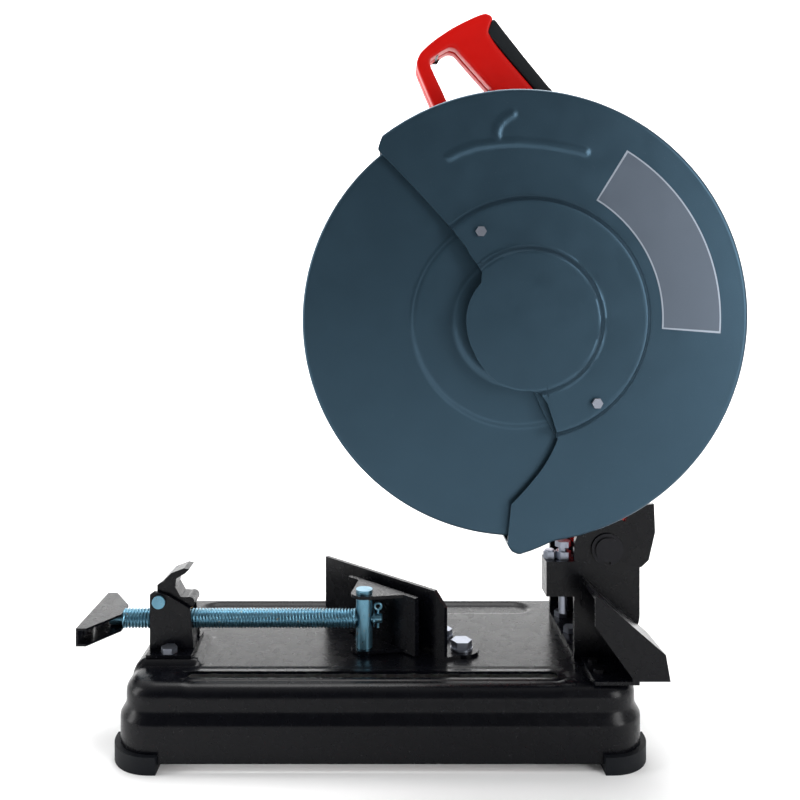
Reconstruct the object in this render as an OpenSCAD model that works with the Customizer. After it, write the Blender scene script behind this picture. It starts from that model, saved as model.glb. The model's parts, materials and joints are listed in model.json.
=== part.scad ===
// Abrasive chop saw: pressed base tray, quick-release vise, tilting motor head and a 355 mm wheel.
// Millimetres. +Z is up, +X runs to the hinge end, +Y runs from the wheel to the motor.
// The origin is on the ground, under the middle of the whole saw.

/* [Base] */
// Length of the base at its skirt
base_len = 457; // [415:1:550]
// Width of the base at its skirt
base_wid = 230; // [215:1:280]
// Height of the pressed tray
tray_h = 63; // [50:1:80]
// How far the feet hold the tray off the ground
foot_drop = 7; // [4:0.2:14]
// Sheet thickness of the tray
tray_sheet = 2.2; // [1.5:0.1:3]
// Plan radius of the tray's corners
tray_corner = 28; // [22:1:45]
// Radius of the tray's top shoulder
shoulder = 12; // [6:1:16]
// How far the skirt band stands out of the wall
skirt_step = 5; // [3:0.5:8]
// Height of the skirt band
skirt_h = 37; // [25:1:42]
// Length of the slot that the wheel drops into
slot_len = 327; // [300:1:330]
// Width of the wheel slot
slot_wid = 13; // [9:0.5:18]

/* [Feet] */
// Height of a rubber corner foot
foot_h = 15; // [12:0.5:20]
// Length of each foot along the tray's edges
foot_len = 44; // [40:1:56]
// How far a foot stands out of the skirt
foot_proud = 5; // [3:0.2:8]

/* [Wheel and guards] */
// Diameter of the abrasive wheel
wheel_d = 355; // [300:1:405]
// Thickness of the abrasive wheel
wheel_t = 3; // [2.4:0.1:4]
// Diameter of the wheel's bore
wheel_bore = 25.4; // [20:0.1:32]
// Room between the wheel's edge and the moving guard's rim
wheel_room = 6.5; // [4:0.5:12]
// Sheet thickness of the guards
guard_sheet = 1.5; // [1.2:0.1:2.5]
// Depth of the fixed guard, front to back
guard_depth = 48; // [44:1:60]
// Height of the hub cover's plate above the guard's face
cover_rise = 9; // [6:0.5:12]
// Height of the dome above the hub cover's plate
dome_rise = 7; // [4:0.5:10]

/* [Head] */
// Radius from the head's pivot to the spindle
arm_len = 229; // [215:1:300]
// Lean of the raised arm from upright, in degrees
arm_lean = 23.1; // [18:0.1:28]
// How far the head tilts down from its raised stop, in degrees
tilt_range = 48; // [40:1:52]
// Diameter of the hinge shaft
hinge_d = 22; // [16:1:25]
// Gear module
gear_mod = 1.25; // [1.25:0.05:1.5]
// Teeth on the armature pinion
pinion_teeth = 15; // [13:1:16]
// Teeth on the spindle gear
gear_teeth = 60; // [56:1:64]
// Outside radius of the motor housing
motor_r = 52; // [50:1:58]
// Length of the motor housing
motor_len = 109; // [105:1:130]
// Diameter of the mains cord that the gland takes
cord_d = 8.6; // [7:0.1:10]

/* [Handle] */
// Thickness of the D handle across the two halves
handle_t = 32; // [28:1:38]

/* [Fence and vise] */
// Length of the fence plate
fence_len = 163; // [135:1:200]
// Height of the fence plate
fence_h = 61; // [50:1:75]
// Length of the vise jaw
jaw_len = 90; // [70:1:110]
// Height of the vise jaw
jaw_h = 53.5; // [46:0.5:60]
// Diameter of the vise screw
screw_d = 18; // [14:0.5:20]
// Diameter of the jaw's upright pin
jaw_pin_d = 15.5; // [13:0.5:18]
// Room left between the jaw and the fence
work_gap = 10; // [4:0.5:40]

/* [Hidden] */
$fn = 96;
eps = 0.01;
// Clearances: between parts that turn in each other, between parts that only pass, and round a bolt
run_gap = 0.06;
pass_gap = 0.4;
bolt_gap = 0.25;

base_top = foot_drop + tray_h;
top_len = base_len - 2 * skirt_step;
top_wid = base_wid - 2 * skirt_step;

// The wheel stands near the front edge; every head station is counted from the guard's front face
guard_front = 4 - base_wid / 2;
guard_back = guard_front + guard_depth;
wheel_y = guard_front + 25.5;
slot_x = -7;

// Head: pivot, spindle, motor
pivot = [base_len / 2 - 20.5, base_top + 101.7];
arbor = pivot + arm_len * [-sin(arm_lean), cos(arm_lean)];
centres = gear_mod * (pinion_teeth + gear_teeth) / 2;
motor_dir = 100;
motor = arbor + centres * [cos(motor_dir), sin(motor_dir)];
case_front = guard_back;
case_depth = 38;
case_back = case_front + case_depth;
case_wall = 6;
gear_w = 12;
gear_y = case_front + 7;
gear_r = gear_mod * gear_teeth / 2;
pinion_r = gear_mod * pinion_teeth / 2;
case_gear_r = gear_r + 8;
case_motor_r = motor_r + 4;
arm_lug = arbor + [28, -64];
motor_front = case_back;
motor_back = motor_front + motor_len;
end_cap = 24;
motor_wall = 4.5;
commutator_r = 14;
// Brush axis, and how far out the holders reach before they meet the housing
brush_y = motor_back - end_cap - 12;
brush_out = motor_r - motor_wall - 0.4;
function motor_at(y) = [motor[0], y, motor[1]];
nose_r = 36;
nose_len = 15;
nose_front = case_front - nose_len;
spindle_r = 8.5;
bearing_r = 20;
seat_r = wheel_bore / 2;

// Guards
move_r = wheel_d / 2 + wheel_room + guard_sheet;
fixed_r = move_r + 8.8;
fixed_c = arbor + [1.3, 3.9];
move_front = guard_front + 4.6;
move_back = guard_back - 6.4;
// The moving guard's sector, in degrees round the arbor
move_from = 118;
move_to = 284;
cover_c = arbor + [7.9, 2.6];
cover_r = 104.7;
dome_c = arbor + [6.8, 0.1];
dome_r = 64.7;
cover_in = cover_r - guard_sheet;
dome_in = dome_r - guard_sheet;
cover_back = guard_front - 0.3;
cover_face = guard_front - cover_rise;
dome_face = cover_face - dome_rise;
cover_pin = arbor + [63.5, -69];
cover_lock = arbor + [-33.9, 75.2];
cover_span = norm(cover_lock - cover_pin);
cover_turn = atan2(cover_lock[1] - cover_pin[1], cover_lock[0] - cover_pin[0]);
guard_screw_r = 43;
guard_screw_a = [20, 110, 200, 290];
function guard_screw(a) = arbor + guard_screw_r * [cos(a), sin(a)];

// Hinge bracket on the base
brk_near = guard_back + 8;
brk_far = brk_near + 114;
brk_sheet = 5;
brk_flange = 4;
barrel_r = 20;
bush_wall = 3;
lug_x = pivot[0] - 37.5;
lug_top = base_top + 90;
stop_head_top = base_top + 106;
stop_y = brk_near + 13;
// Plate that meets the bracket's back wall when the head is up
hook_y = brk_near + brk_sheet + pass_gap;
hook_t = 4;

// Arm and case fasteners
knee = pivot + 82 * [-sin(arm_lean), cos(arm_lean)];
arm_bolt_at = [arm_lug + [-14, 8], arm_lug + [15, 2], arm_lug + [4, -19]];
case_screw_a = [40, 140, 220, 320];
function case_screw(a) = motor + (motor_r - 0.5) * [cos(a), sin(a)];
// The stop pad's face lies on the stop bolt's head when the head is fully down
land_gap = 0.02;
stop_from = [lug_x, stop_head_top + land_gap] - pivot;
stop_pad = pivot + [
    stop_from[0] * cos(tilt_range) + stop_from[1] * sin(tilt_range),
    -stop_from[0] * sin(tilt_range) + stop_from[1] * cos(tilt_range),
];
flange_r = 37;
lock_r = 3;
lock_holes = 8;
function lock_spot(turn) = arbor + 27 * [cos(215 + turn), sin(215 + turn)];
lock_at = lock_spot(0);
gland_at = motor + [26, -14];
gland_r = cord_d / 2 + 2.4;

// Spark hood
hood_x = base_len / 2 - 44.5;
hood_front = guard_front + 4;
hood_wid = 51;
hood_sheet = 2;
hood_tip = base_top + 78;

// Handle: its corners are counted from its foot on the gear case
hand_mid = case_front + 27;
hand_front = hand_mid - handle_t / 2;
hand_back = hand_mid + handle_t / 2;
hand_foot_z = motor[1] + case_motor_r + 10;
hand_o = [motor[0], hand_foot_z];
hand_outer = [
    [-76, 119], [-76.5, 126], [-73, 134], [-61, 145], [-43, 157], [-24, 166.5], [-13, 170.7],
    [-8, 169.5], [-5, 165], [-12, 154], [-12, 150], [29, 103], [60, 67], [56, 50], [38, 22], [36, 0],
    [-22, 0], [-26, 22], [-44, 47], [-61.5, 85],
];
hand_inner = [
    [-49, 90.5], [-64, 123.5], [-64, 128], [-45.5, 139], [-39.5, 136.5], [-8, 101], [28, 60], [27, 50],
    [17, 40], [-22, 40], [-32, 50],
];
pad_edge = [
    [-12, 154], [-12, 150], [29, 103], [60, 67], [71, 72], [67, 79], [46.1, 102.5], [-3.5, 163.4], [-6, 164.8],
];
trig_pin = hand_o + [31, 66];
trig_top = hand_o + [-4, 101];
// Tongue of the gear case that the handle's foot is screwed to
tongue_half = 6;
tongue_screw_at = [hand_o + [-4, 13], hand_o + [19, 13]];
hand_screw_at = concat(tongue_screw_at, [hand_o + [-58, 134], hand_o + [-22, 158]]);
trig_half = 6;
trig_travel = 7;
lock_off_r = 4;
lock_off_at = trig_pin + [-12, 29];

// Fence and vise
fence_sheet = 4;
fence_flange = 48;
fence_depth = 27;
fence_start = -2;
fence_pivot = [base_len / 2 - 152, 78.5 - base_wid / 2];
fence_slot_r = 34;
fence_slot_a = [-22, 23];
fence_bolt_r = 5;
fence_bolt2_r = 4;
free_holes = [35, 70];
jaw_sheet = 5;
jaw_reach = 26.5;
vise_y = fence_pivot[1] + 1.5;
vise_z = base_top + 31;
// The jaw's pin is where the jaw's face lies parallel to the fence with the work gap between them
jaw_x = fence_pivot[0] + (fence_pivot[1] - vise_y) - sqrt(2) * (fence_depth + work_gap + jaw_reach);
pad_h = 5;
pad_len = 46;
pad_wid = 58;
pad_x = 16 - base_len / 2;
vise_foot = base_top + pad_h;
cheek_gap = 24;
cheek_t = 3;
lever_pin = [pad_x + 8.6, base_top + 51.7];
// Jaw pin to handle: the screw runs past the vise pad, however far the fence stands from it
screw_len = fence_pivot[0] - pad_x - 51;
handle_x = jaw_x - screw_len;
handle_seat_r = 6;
screw_end_r = 4.5;
cotter_x = jaw_x + jaw_pin_d / 2 + 5.2;
cotter_r = 1.3;

// Where the base's sheet is drilled
fence_bolt2 = fence_pivot + fence_slot_r * [cos(135 + fence_slot_a[0]), sin(135 + fence_slot_a[0])];
hinge_bolt_at = [for (dy = [14, 57, 100]) [pivot[0] - 20, brk_near + dy]];
bracket_bolt_at = [for (s = [-1, 1]) [lever_pin[0] + 11, vise_y + s * 22]];
hood_screw_at = [for (dy = [20, 40]) [hood_x + 8, hood_front + dy]];
bench_at = [for (y = [33, 160]) [46 - base_len / 2, y - base_wid / 2]];

// Middle of the whole saw in plan: vise handle to the guard's back edge, hub dome to rear feet
middle = [
    (handle_x - 17 + fixed_c[0] + fixed_r) / 2,
    (dome_face + base_wid / 2 + foot_proud) / 2,
];

// ---- Shapes that repeat ----

// The parts are drawn from the middle of the base; this puts the whole saw's middle over the origin
module stand()
    translate([-middle[0], -middle[1], 0])
        children();

// A flat shape drawn in X and Z, made solid from y0 to y1
module slab(y0, y1)
    translate([0, y1, 0])
        rotate([90, 0, 0])
            linear_extrude(y1 - y0)
                children();

// A round bar along Y through the point p of the X-Z plane
module bar(r, y0, y1, p)
    translate([p[0], y1, p[1]])
        rotate([90, 0, 0])
            cylinder(r = r, h = y1 - y0);

// A tapered round bar along Y, radius r0 at y0 and r1 at y1
module taper(r0, r1, y0, y1, p)
    translate([p[0], y1, p[1]])
        rotate([90, 0, 0])
            cylinder(r1 = r1, r2 = r0, h = y1 - y0);

module ring(ro, ri, y0, y1, p)
    difference() {
        bar(ro, y0, y1, p);
        bar(ri, y0 - 1, y1 + 1, p);
    }

// Two circles and the straight flanks that are tangent to both
module strap(p1, r1, p2, r2) {
    run = p2 - p1;
    a = atan2(run[1], run[0]);
    t = acos((r1 - r2) / norm(run));
    translate(p1)
        circle(r = r1);
    translate(p2)
        circle(r = r2);
    polygon([
        p1 + r1 * [cos(a + t), sin(a + t)],
        p2 + r2 * [cos(a + t), sin(a + t)],
        p2 + r2 * [cos(a - t), sin(a - t)],
        p1 + r1 * [cos(a - t), sin(a - t)],
    ]);
}

module round_rect(l, w, r) {
    square([l - 2 * r, w], center = true);
    square([l, w - 2 * r], center = true);
    for (sx = [-1, 1])
        for (sy = [-1, 1])
            translate([sx * (l / 2 - r), sy * (w / 2 - r)])
                circle(r = r);
}

module round_slot(l, w) {
    square([l - w, w], center = true);
    for (s = [-1, 1])
        translate([s * (l - w) / 2, 0])
            circle(d = w);
}

// The wedge of a disc between two angles
module sector(r, a0, a1)
    polygon(concat([[0, 0]], [for (i = [0:12]) let (a = a0 + (a1 - a0) * i / 12) r * [cos(a), sin(a)]]));

// A bolt whose head sits on z = 0 and whose shank hangs below it
module hex_bolt(r, len, across, head) {
    cylinder(r = across / sqrt(3), h = head, $fn = 6);
    translate([0, 0, -len])
        cylinder(r = r, h = len + eps);
}

module washer(r, bore, t)
    difference() {
        cylinder(r = r, h = t);
        translate([0, 0, -1])
            cylinder(r = bore, h = t + 2);
    }

// Involute tooth outline: angle of the flank at radius r, for a base circle rb
function flank(r, rb) = sqrt(pow(r / rb, 2) - 1) * 180 / PI - acos(rb / r);

// Outline of a spur gear with a stub tooth and a little backlash; phase is the angle of one tooth's middle
function gear_points(teeth, phase) =
    let (
        rp = gear_mod * teeth / 2,
        rb = rp * cos(20),
        ro = rp + 0.8 * gear_mod,
        rr = rp - 1.05 * gear_mod,
        r1 = max(rb, rr) + eps,
        half = 90 / teeth - 0.09 / rp * 180 / PI + flank(rp, rb),
        rs = [r1, (2 * r1 + ro) / 3, (r1 + 2 * ro) / 3, ro]
    )
    [
        for (k = [0:teeth - 1])
            let (mid = phase + k * 360 / teeth)
                each concat(
                    [rr * [cos(mid - half - 0.5), sin(mid - half - 0.5)]],
                    [for (r = rs) let (a = mid - half + flank(r, rb)) r * [cos(a), sin(a)]],
                    [for (i = [3:-1:0]) let (a = mid + half - flank(rs[i], rb)) rs[i] * [cos(a), sin(a)]],
                    [rr * [cos(mid + half + 0.5), sin(mid + half + 0.5)]]
                ),
    ];

// A wire of radius w wound n turns at radius r along Y, with a straight tail at each end
module coil(r, w, n, pitch, a0, tail0, tail1) {
    seg = 20;
    sides = 8;
    steps = round(n * seg);
    spine = concat(
        [[r * cos(a0) + tail0 * sin(a0), 0, r * sin(a0) - tail0 * cos(a0)]],
        [for (i = [0:steps])
            let (a = a0 + 360 * i / seg)
                [r * cos(a), pitch * i / seg, r * sin(a)]],
        [let (a = a0 + 360 * steps / seg)
            [r * cos(a) - tail1 * sin(a), pitch * steps / seg, r * sin(a) + tail1 * cos(a)]]
    );
    m = len(spine);
    ring_pts = [
        for (i = [0:m - 1])
            let (
                ahead = spine[min(i + 1, m - 1)] - spine[max(i - 1, 0)],
                t = ahead / norm(ahead),
                side = cross(t, [0, 1, 0]),
                u = side / norm(side),
                v = cross(u, t)
            )
                for (k = [0:sides - 1])
                    spine[i] + w * (cos(360 * k / sides) * u + sin(360 * k / sides) * v)
    ];
    faces = concat(
        [[for (k = [0:sides - 1]) k]],
        [for (i = [0:m - 2])
            for (k = [0:sides - 1])
                let (a = i * sides + k, b = i * sides + (k + 1) % sides)
                    each [[b, a, a + sides], [b, a + sides, b + sides]]],
        [[for (k = [sides - 1:-1:0]) (m - 1) * sides + k]]
    );
    polyhedron(ring_pts, faces);
}

// ---- Base ----

// A block's cross-section with its two top corners rounded by e
module arch(w, h, e) {
    translate([-w / 2, 0])
        square([w, h - e]);
    translate([e - w / 2, 0])
        square([w - 2 * e, h]);
    for (s = [-1, 1])
        translate([s * (w / 2 - e), h - e])
            circle(r = e);
}

// Closed pressed block standing on z = 0, with its shoulder rounded by e
module tray_block(l, w, r, h, e)
    intersection() {
        linear_extrude(h + 1)
            round_rect(l, w, r);
        rotate([90, 0, 0])
            linear_extrude(w + 2, center = true)
                arch(l, h, e);
        rotate([90, 0, 90])
            linear_extrude(l + 2, center = true)
                arch(w, h, e);
    }

// Plan of the skirt, grown by g
module skirt_rect(g)
    round_rect(base_len + 2 * g, base_wid + 2 * g, tray_corner + skirt_step + g);

// Stiffening trough pressed into the top, along the back of the tray
module trough(grow)
    translate([-14, base_wid / 2 - 36.5, base_top - 3 - grow])
        linear_extrude(20)
            round_slot(349 + 2 * grow, 33 + 2 * grow);

module tray_sheet_hole(x, y, r)
    translate([x, y, base_top - 20])
        cylinder(r = r, h = 40);

module base_tray()
    stand() color([0.05, 0.055, 0.07])
        difference() {
            union() {
                translate([0, 0, foot_drop])
                    tray_block(top_len, top_wid, tray_corner, tray_h, shoulder);
                translate([0, 0, foot_drop])
                    linear_extrude(skirt_h)
                        skirt_rect(0);
                translate([pad_x, vise_y - pad_wid / 2, base_top - shoulder])
                    cube([pad_len, pad_wid, shoulder + pad_h]);
            }
            trough(0);
            difference() {
                translate([0, 0, foot_drop - 1])
                    tray_block(
                        top_len - 2 * tray_sheet, top_wid - 2 * tray_sheet, tray_corner - tray_sheet,
                        tray_h + 1 - tray_sheet, shoulder - tray_sheet
                    );
                trough(tray_sheet);
            }
            translate([0, 0, foot_drop - 1])
                linear_extrude(skirt_h + 1 - tray_sheet)
                    skirt_rect(-tray_sheet);
            translate([slot_x, wheel_y, base_top - 20])
                linear_extrude(40)
                    round_slot(slot_len, slot_wid);
            tray_sheet_hole(fence_pivot[0], fence_pivot[1], fence_bolt_r + bolt_gap);
            tray_sheet_hole(fence_bolt2[0], fence_bolt2[1], fence_bolt2_r + bolt_gap);
            for (x = free_holes)
                tray_sheet_hole(fence_pivot[0] + x, fence_pivot[1], 5.5);
            for (p = hinge_bolt_at)
                tray_sheet_hole(p[0], p[1], 4 + bolt_gap);
            for (p = bracket_bolt_at)
                tray_sheet_hole(p[0], p[1], 4 + bolt_gap);
            for (p = hood_screw_at)
                tray_sheet_hole(p[0], p[1], 2.5 + bolt_gap);
            for (p = bench_at)
                tray_sheet_hole(p[0], p[1], 4.5);
        }

// Rubber cup that grips the skirt's bottom edge at one corner; sx and sy pick the corner
module corner_foot(sx, sy)
    stand() color([0.04, 0.04, 0.045])
        difference() {
            intersection() {
                linear_extrude(foot_h)
                    skirt_rect(foot_proud);
                translate([
                    sx * (base_len / 2 + foot_proud - foot_len / 2),
                    sy * (base_wid / 2 + foot_proud - foot_len / 2),
                    foot_h / 2,
                ])
                    cube([foot_len, foot_len, 2 * foot_h], center = true);
            }
            translate([0, 0, foot_drop])
                linear_extrude(foot_h)
                    difference() {
                        skirt_rect(0);
                        skirt_rect(-tray_sheet);
                    }
        }

// ---- Hinge ----

module bracket_plate()
    difference() {
        union() {
            strap(pivot, 30, pivot - [0, 60], 30);
            translate([pivot[0] - 30, base_top])
                square([57, pivot[1] - base_top]);
        }
        translate([pivot[0] - 60, 0])
            square([120, base_top]);
        translate(pivot)
            circle(r = hinge_d / 2 + bolt_gap);
    }

module hinge_bracket()
    stand() color([0.06, 0.06, 0.07])
        difference() {
            union() {
                slab(brk_near, brk_near + brk_sheet)
                    bracket_plate();
                slab(brk_far - brk_sheet, brk_far)
                    bracket_plate();
                translate([pivot[0] - 30, brk_near, base_top])
                    cube([57, brk_far - brk_near, brk_flange]);
                translate([pivot[0] + 21, brk_near, base_top])
                    cube([6, brk_far - brk_near, 83]);
                translate([lug_x - 18, brk_near, lug_top - 32])
                    cube([36, 23, 32]);
            }
            for (p = hinge_bolt_at)
                translate([p[0], p[1], base_top - 1])
                    cylinder(r = 4 + bolt_gap, h = 10);
            for (dx = [0, -12.5])
                translate([lug_x + dx, stop_y, lug_top - 40])
                    cylinder(r = 4 + bolt_gap, h = 60);
        }

// The same bolt holds the hinge bracket and the vise bracket
module base_bolts()
    stand() color([0.72, 0.76, 0.8]) {
        for (p = hinge_bolt_at)
            translate([p[0], p[1], base_top + brk_flange])
                hex_bolt(4, 16, 13, 5.3);
        for (p = bracket_bolt_at)
            translate([p[0], p[1], vise_foot + 3])
                hex_bolt(4, 16, 13, 5.3);
    }

module hinge_shaft()
    stand() color([0.66, 0.7, 0.74])
        difference() {
            bar(hinge_d / 2, brk_near - 4, brk_far + 4, pivot);
            ring(hinge_d / 2 + 1, hinge_d / 2 - 0.8, brk_near - 2.4, brk_near - 0.6, pivot);
            ring(hinge_d / 2 + 1, hinge_d / 2 - 0.8, brk_far + 0.6, brk_far + 2.4, pivot);
        }

module shaft_rings()
    stand() color([0.3, 0.31, 0.33])
        for (y = [brk_near - 2.1, brk_far + 0.9])
            difference() {
                ring(hinge_d / 2 + 3.5, hinge_d / 2 - 0.7, y, y + 1.2, pivot);
                slab(y - 1, y + 3)
                    translate(pivot - [3, 30])
                        square([6, 30]);
            }

// Depth stop and its neighbour, each with a lock nut, in the bracket's lug
module stop_bolts()
    stand() color([0.7, 0.74, 0.8]) {
        translate([lug_x, stop_y, stop_head_top - 5.3])
            hex_bolt(4, 62, 13, 5.3);
        translate([lug_x, stop_y, lug_top])
            cylinder(r = 7.5, h = 6.5, $fn = 6);
        translate([lug_x - 12.5, stop_y, lug_top - 34])
            cylinder(r = 4, h = 42);
        translate([lug_x - 12.5, stop_y, lug_top + eps])
            cylinder(r = 6, h = 6.5, $fn = 6);
    }

module return_spring()
    stand() color([0.25, 0.26, 0.28])
        translate([pivot[0], brk_near + 38.5, pivot[1]])
            coil(15.5, 1.9, 7.1, 4.15, -60, 34, 30);

// ---- Spark hood ----

module hood_outline()
    polygon([
        [hood_x, hood_tip],
        [hood_x + 60.5, base_top + 26],
        [hood_x + 64.5, base_top + 3],
        [hood_x + 34, base_top + 3],
        [hood_x, base_top + 50],
    ]);

module spark_hood()
    stand() color([0.05, 0.05, 0.06])
        difference() {
            union() {
                slab(hood_front, hood_front + hood_wid)
                    hood_outline();
                translate([hood_x, hood_front, base_top])
                    cube([36, hood_wid, 3]);
                translate([hood_x + 32, hood_front, base_top])
                    cube([6, hood_wid, 10]);
            }
            slab(hood_front + hood_sheet, hood_front + hood_wid - hood_sheet)
                polygon([
                    [hood_x - 5, hood_tip - 5],
                    [hood_x + 3, hood_tip - 5],
                    [hood_x + 58.5, base_top + 25],
                    [hood_x + 62, base_top + 2],
                    [hood_x + 40, base_top + 2],
                    [hood_x + 32, base_top + 3],
                    [hood_x - 5, base_top + 3],
                ]);
            translate([hood_x + 38, hood_front + hood_sheet, base_top - 1])
                cube([24, hood_wid - 2 * hood_sheet, 6]);
            for (p = hood_screw_at)
                translate([p[0], p[1], base_top - 1])
                    cylinder(r = 2.5 + bolt_gap, h = 8);
        }

module hood_screws()
    stand() color([0.2, 0.2, 0.22])
        for (p = hood_screw_at)
            translate([p[0], p[1], base_top + 3])
                hex_bolt(2.5, 10, 8, 3);

// ---- Fence ----

// Places children in the fence's own frame: pivot at the origin, x along the plate, y towards the jaw
module fence_frame()
    translate([fence_pivot[0], fence_pivot[1], base_top])
        rotate([0, 0, 135])
            children();

module fence()
    stand() color([0.05, 0.05, 0.06])
        fence_frame()
            difference() {
                union() {
                    translate([fence_start, fence_depth - fence_sheet, 0])
                        cube([fence_len, fence_sheet, fence_h]);
                    linear_extrude(3) {
                        polygon([
                            [fence_start, fence_depth],
                            [fence_start + fence_len, fence_depth],
                            [fence_start + fence_len - 12, fence_depth - fence_flange],
                            [0, fence_depth - fence_flange],
                            [-11, -8],
                            [-12, 8],
                        ]);
                        circle(r = 16);
                    }
                }
                translate([fence_start, 0, fence_h])
                    rotate([0, 45, 0])
                        cube([18, 90, 18], center = true);
                translate([0, 0, -1])
                    cylinder(r = fence_bolt_r + bolt_gap, h = 6);
                translate([0, 0, -1])
                    linear_extrude(6)
                        arc_slot(fence_slot_r, fence_bolt2_r + bolt_gap, fence_slot_a);
            }

// A slot of half width w along an arc of radius r between two angles
module arc_slot(r, w, span) {
    difference() {
        circle(r = r + w);
        circle(r = r - w);
        sector(90, span[1], 360 + span[0]);
    }
    for (a = span)
        rotate(a)
            translate([r, 0])
                circle(r = w + 0.1);
}

module fence_bolts()
    stand() color([0.72, 0.76, 0.8]) {
        translate([fence_pivot[0], fence_pivot[1], base_top + 3 + run_gap]) {
            washer(10.3, fence_bolt_r - 0.2, 1.8);
            translate([0, 0, 1.7])
                hex_bolt(fence_bolt_r, 16, 17, 6.6);
        }
        translate([fence_bolt2[0], fence_bolt2[1], base_top + 3 + run_gap]) {
            washer(8, fence_bolt2_r - 0.2, 1.5);
            translate([0, 0, 1.4])
                hex_bolt(fence_bolt2_r, 16, 13, 5.3);
        }
    }

// ---- Vise ----

module cheek_outline()
    polygon([
        [pad_x, vise_foot],
        [pad_x, base_top + 58],
        [pad_x + 4, base_top + 61],
        [pad_x + 17, base_top + 57],
        [pad_x + 37, base_top + 45],
        [pad_x + 41, vise_foot],
    ]);

module vise_bracket()
    stand() color([0.05, 0.05, 0.06])
        difference() {
            union() {
                for (y = [vise_y - cheek_gap / 2 - cheek_t, vise_y + cheek_gap / 2])
                    slab(y, y + cheek_t)
                        cheek_outline();
                translate([pad_x, vise_y - pad_wid / 2, vise_foot])
                    cube([41, pad_wid, 3]);
                // Saddles that carry the screw from below
                for (x = [pad_x + 2, pad_x + 31])
                    translate([x, vise_y - cheek_gap / 2 - eps, vise_foot])
                        cube([8, cheek_gap + 2 * eps, vise_z - vise_foot]);
            }
            translate([pad_x - 1, vise_y, vise_z])
                rotate([0, 90, 0])
                    cylinder(r = screw_d / 2 + 0.08, h = 60);
            bar(4 + bolt_gap, vise_y - 30, vise_y + 30, lever_pin);
            for (p = bracket_bolt_at)
                translate([p[0], p[1], base_top - 1])
                    cylinder(r = 4 + bolt_gap, h = 20);
        }

module lever_pin()
    stand() color([0.7, 0.74, 0.8]) {
        bar(4, vise_y - cheek_gap / 2 - cheek_t - 2, vise_y + cheek_gap / 2 + cheek_t + 2, lever_pin);
        bar(6, vise_y - cheek_gap / 2 - cheek_t - 3, vise_y - cheek_gap / 2 - cheek_t - 0.2, lever_pin);
        bar(6, vise_y + cheek_gap / 2 + cheek_t + 0.2, vise_y + cheek_gap / 2 + cheek_t + 3, lever_pin);
    }

// Quick-release lever: a horn to lift it by and a bed that carries the half nut
module release_lever()
    stand() color([0.06, 0.06, 0.07])
        slab(vise_y - cheek_gap / 2 + 1, vise_y + cheek_gap / 2 - 1)
            difference() {
                union() {
                    translate(lever_pin)
                        circle(r = 7);
                    translate(lever_pin + [27, -2])
                        circle(r = 5);
                    polygon([
                        lever_pin + [-4, 5],
                        lever_pin + [1, 16],
                        lever_pin + [10, 25],
                        lever_pin + [22, 29.5],
                        lever_pin + [27, 28.5],
                        lever_pin + [23, 24.5],
                        lever_pin + [15, 20],
                        lever_pin + [14, 12],
                        lever_pin + [19, 3],
                        lever_pin + [27, 2.5],
                        lever_pin + [27, -6.5],
                        lever_pin + [0, -6.5],
                    ]);
                }
                translate(lever_pin)
                    circle(r = 4 + run_gap);
            }

module half_nut()
    stand() color([0.62, 0.5, 0.28])
        difference() {
            translate([lever_pin[0] + 10, vise_y - 9.5, vise_z + 2])
                cube([16, 19, lever_pin[1] - vise_z - 9]);
            translate([lever_pin[0], vise_y, vise_z])
                rotate([0, 90, 0])
                    cylinder(r = screw_d / 2 + 0.08, h = 60);
            slab(vise_y - 30, vise_y + 30)
                strap(lever_pin, 7, lever_pin + [27, -2], 5);
        }

// Upright pin that the screw turns in and the jaw swivels on
module jaw_pin()
    stand() color([0.68, 0.74, 0.8])
        difference() {
            translate([jaw_x, vise_y, base_top + 0.5])
                cylinder(d = jaw_pin_d, h = 58);
            translate([jaw_x - 20, vise_y, vise_z])
                rotate([0, 90, 0])
                    cylinder(r = screw_end_r + run_gap, h = 40);
        }

module ear_outline()
    difference() {
        union() {
            circle(r = jaw_pin_d / 2 + 4.5);
            polygon([
                [-30, -jaw_reach + jaw_sheet - eps],
                [30, -jaw_reach + jaw_sheet - eps],
                [9, 8],
                [-9, 8],
            ]);
        }
        circle(r = jaw_pin_d / 2 + run_gap);
    }

module vise_jaw()
    stand() color([0.05, 0.05, 0.06])
        translate([jaw_x, vise_y, base_top + 1.5])
            rotate([0, 0, 135]) {
                translate([-jaw_len / 2, -jaw_reach, 0])
                    cube([jaw_len, jaw_sheet, jaw_h]);
                linear_extrude(3)
                    ear_outline();
                translate([0, 0, jaw_h - 3])
                    linear_extrude(3)
                        ear_outline();
            }

module vise_screw()
    stand() color([0.55, 0.66, 0.76])
        difference() {
            translate([handle_x, vise_y, vise_z])
                rotate([0, 90, 0]) {
                    cylinder(r = handle_seat_r, h = 14);
                    translate([0, 0, 13])
                        cylinder(d = screw_d, h = jaw_x - handle_x - 13 - jaw_pin_d / 2 - 0.5);
                    cylinder(r = screw_end_r, h = cotter_x - handle_x + 4);
                }
            translate([cotter_x, vise_y, vise_z - 12])
                cylinder(r = cotter_r, h = 24);
        }

// Folded channel with its web outwards and its two ends drawn in
module vise_handle()
    stand() color([0.05, 0.05, 0.06])
        translate([handle_x, vise_y, vise_z])
            difference() {
                translate([0, 0, -8])
                    linear_extrude(16)
                        polygon([[-17, -46.5], [-17, 46.5], [-8, 46.5], [13, 12], [13, -12], [-8, -46.5]]);
                translate([0, 0, -6])
                    linear_extrude(12)
                        polygon([[-15, -60], [-15, 60], [40, 60], [40, -60]]);
                translate([-30, 0, 0])
                    rotate([0, 90, 0])
                        cylinder(r = handle_seat_r + eps, h = 60);
            }

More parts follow.
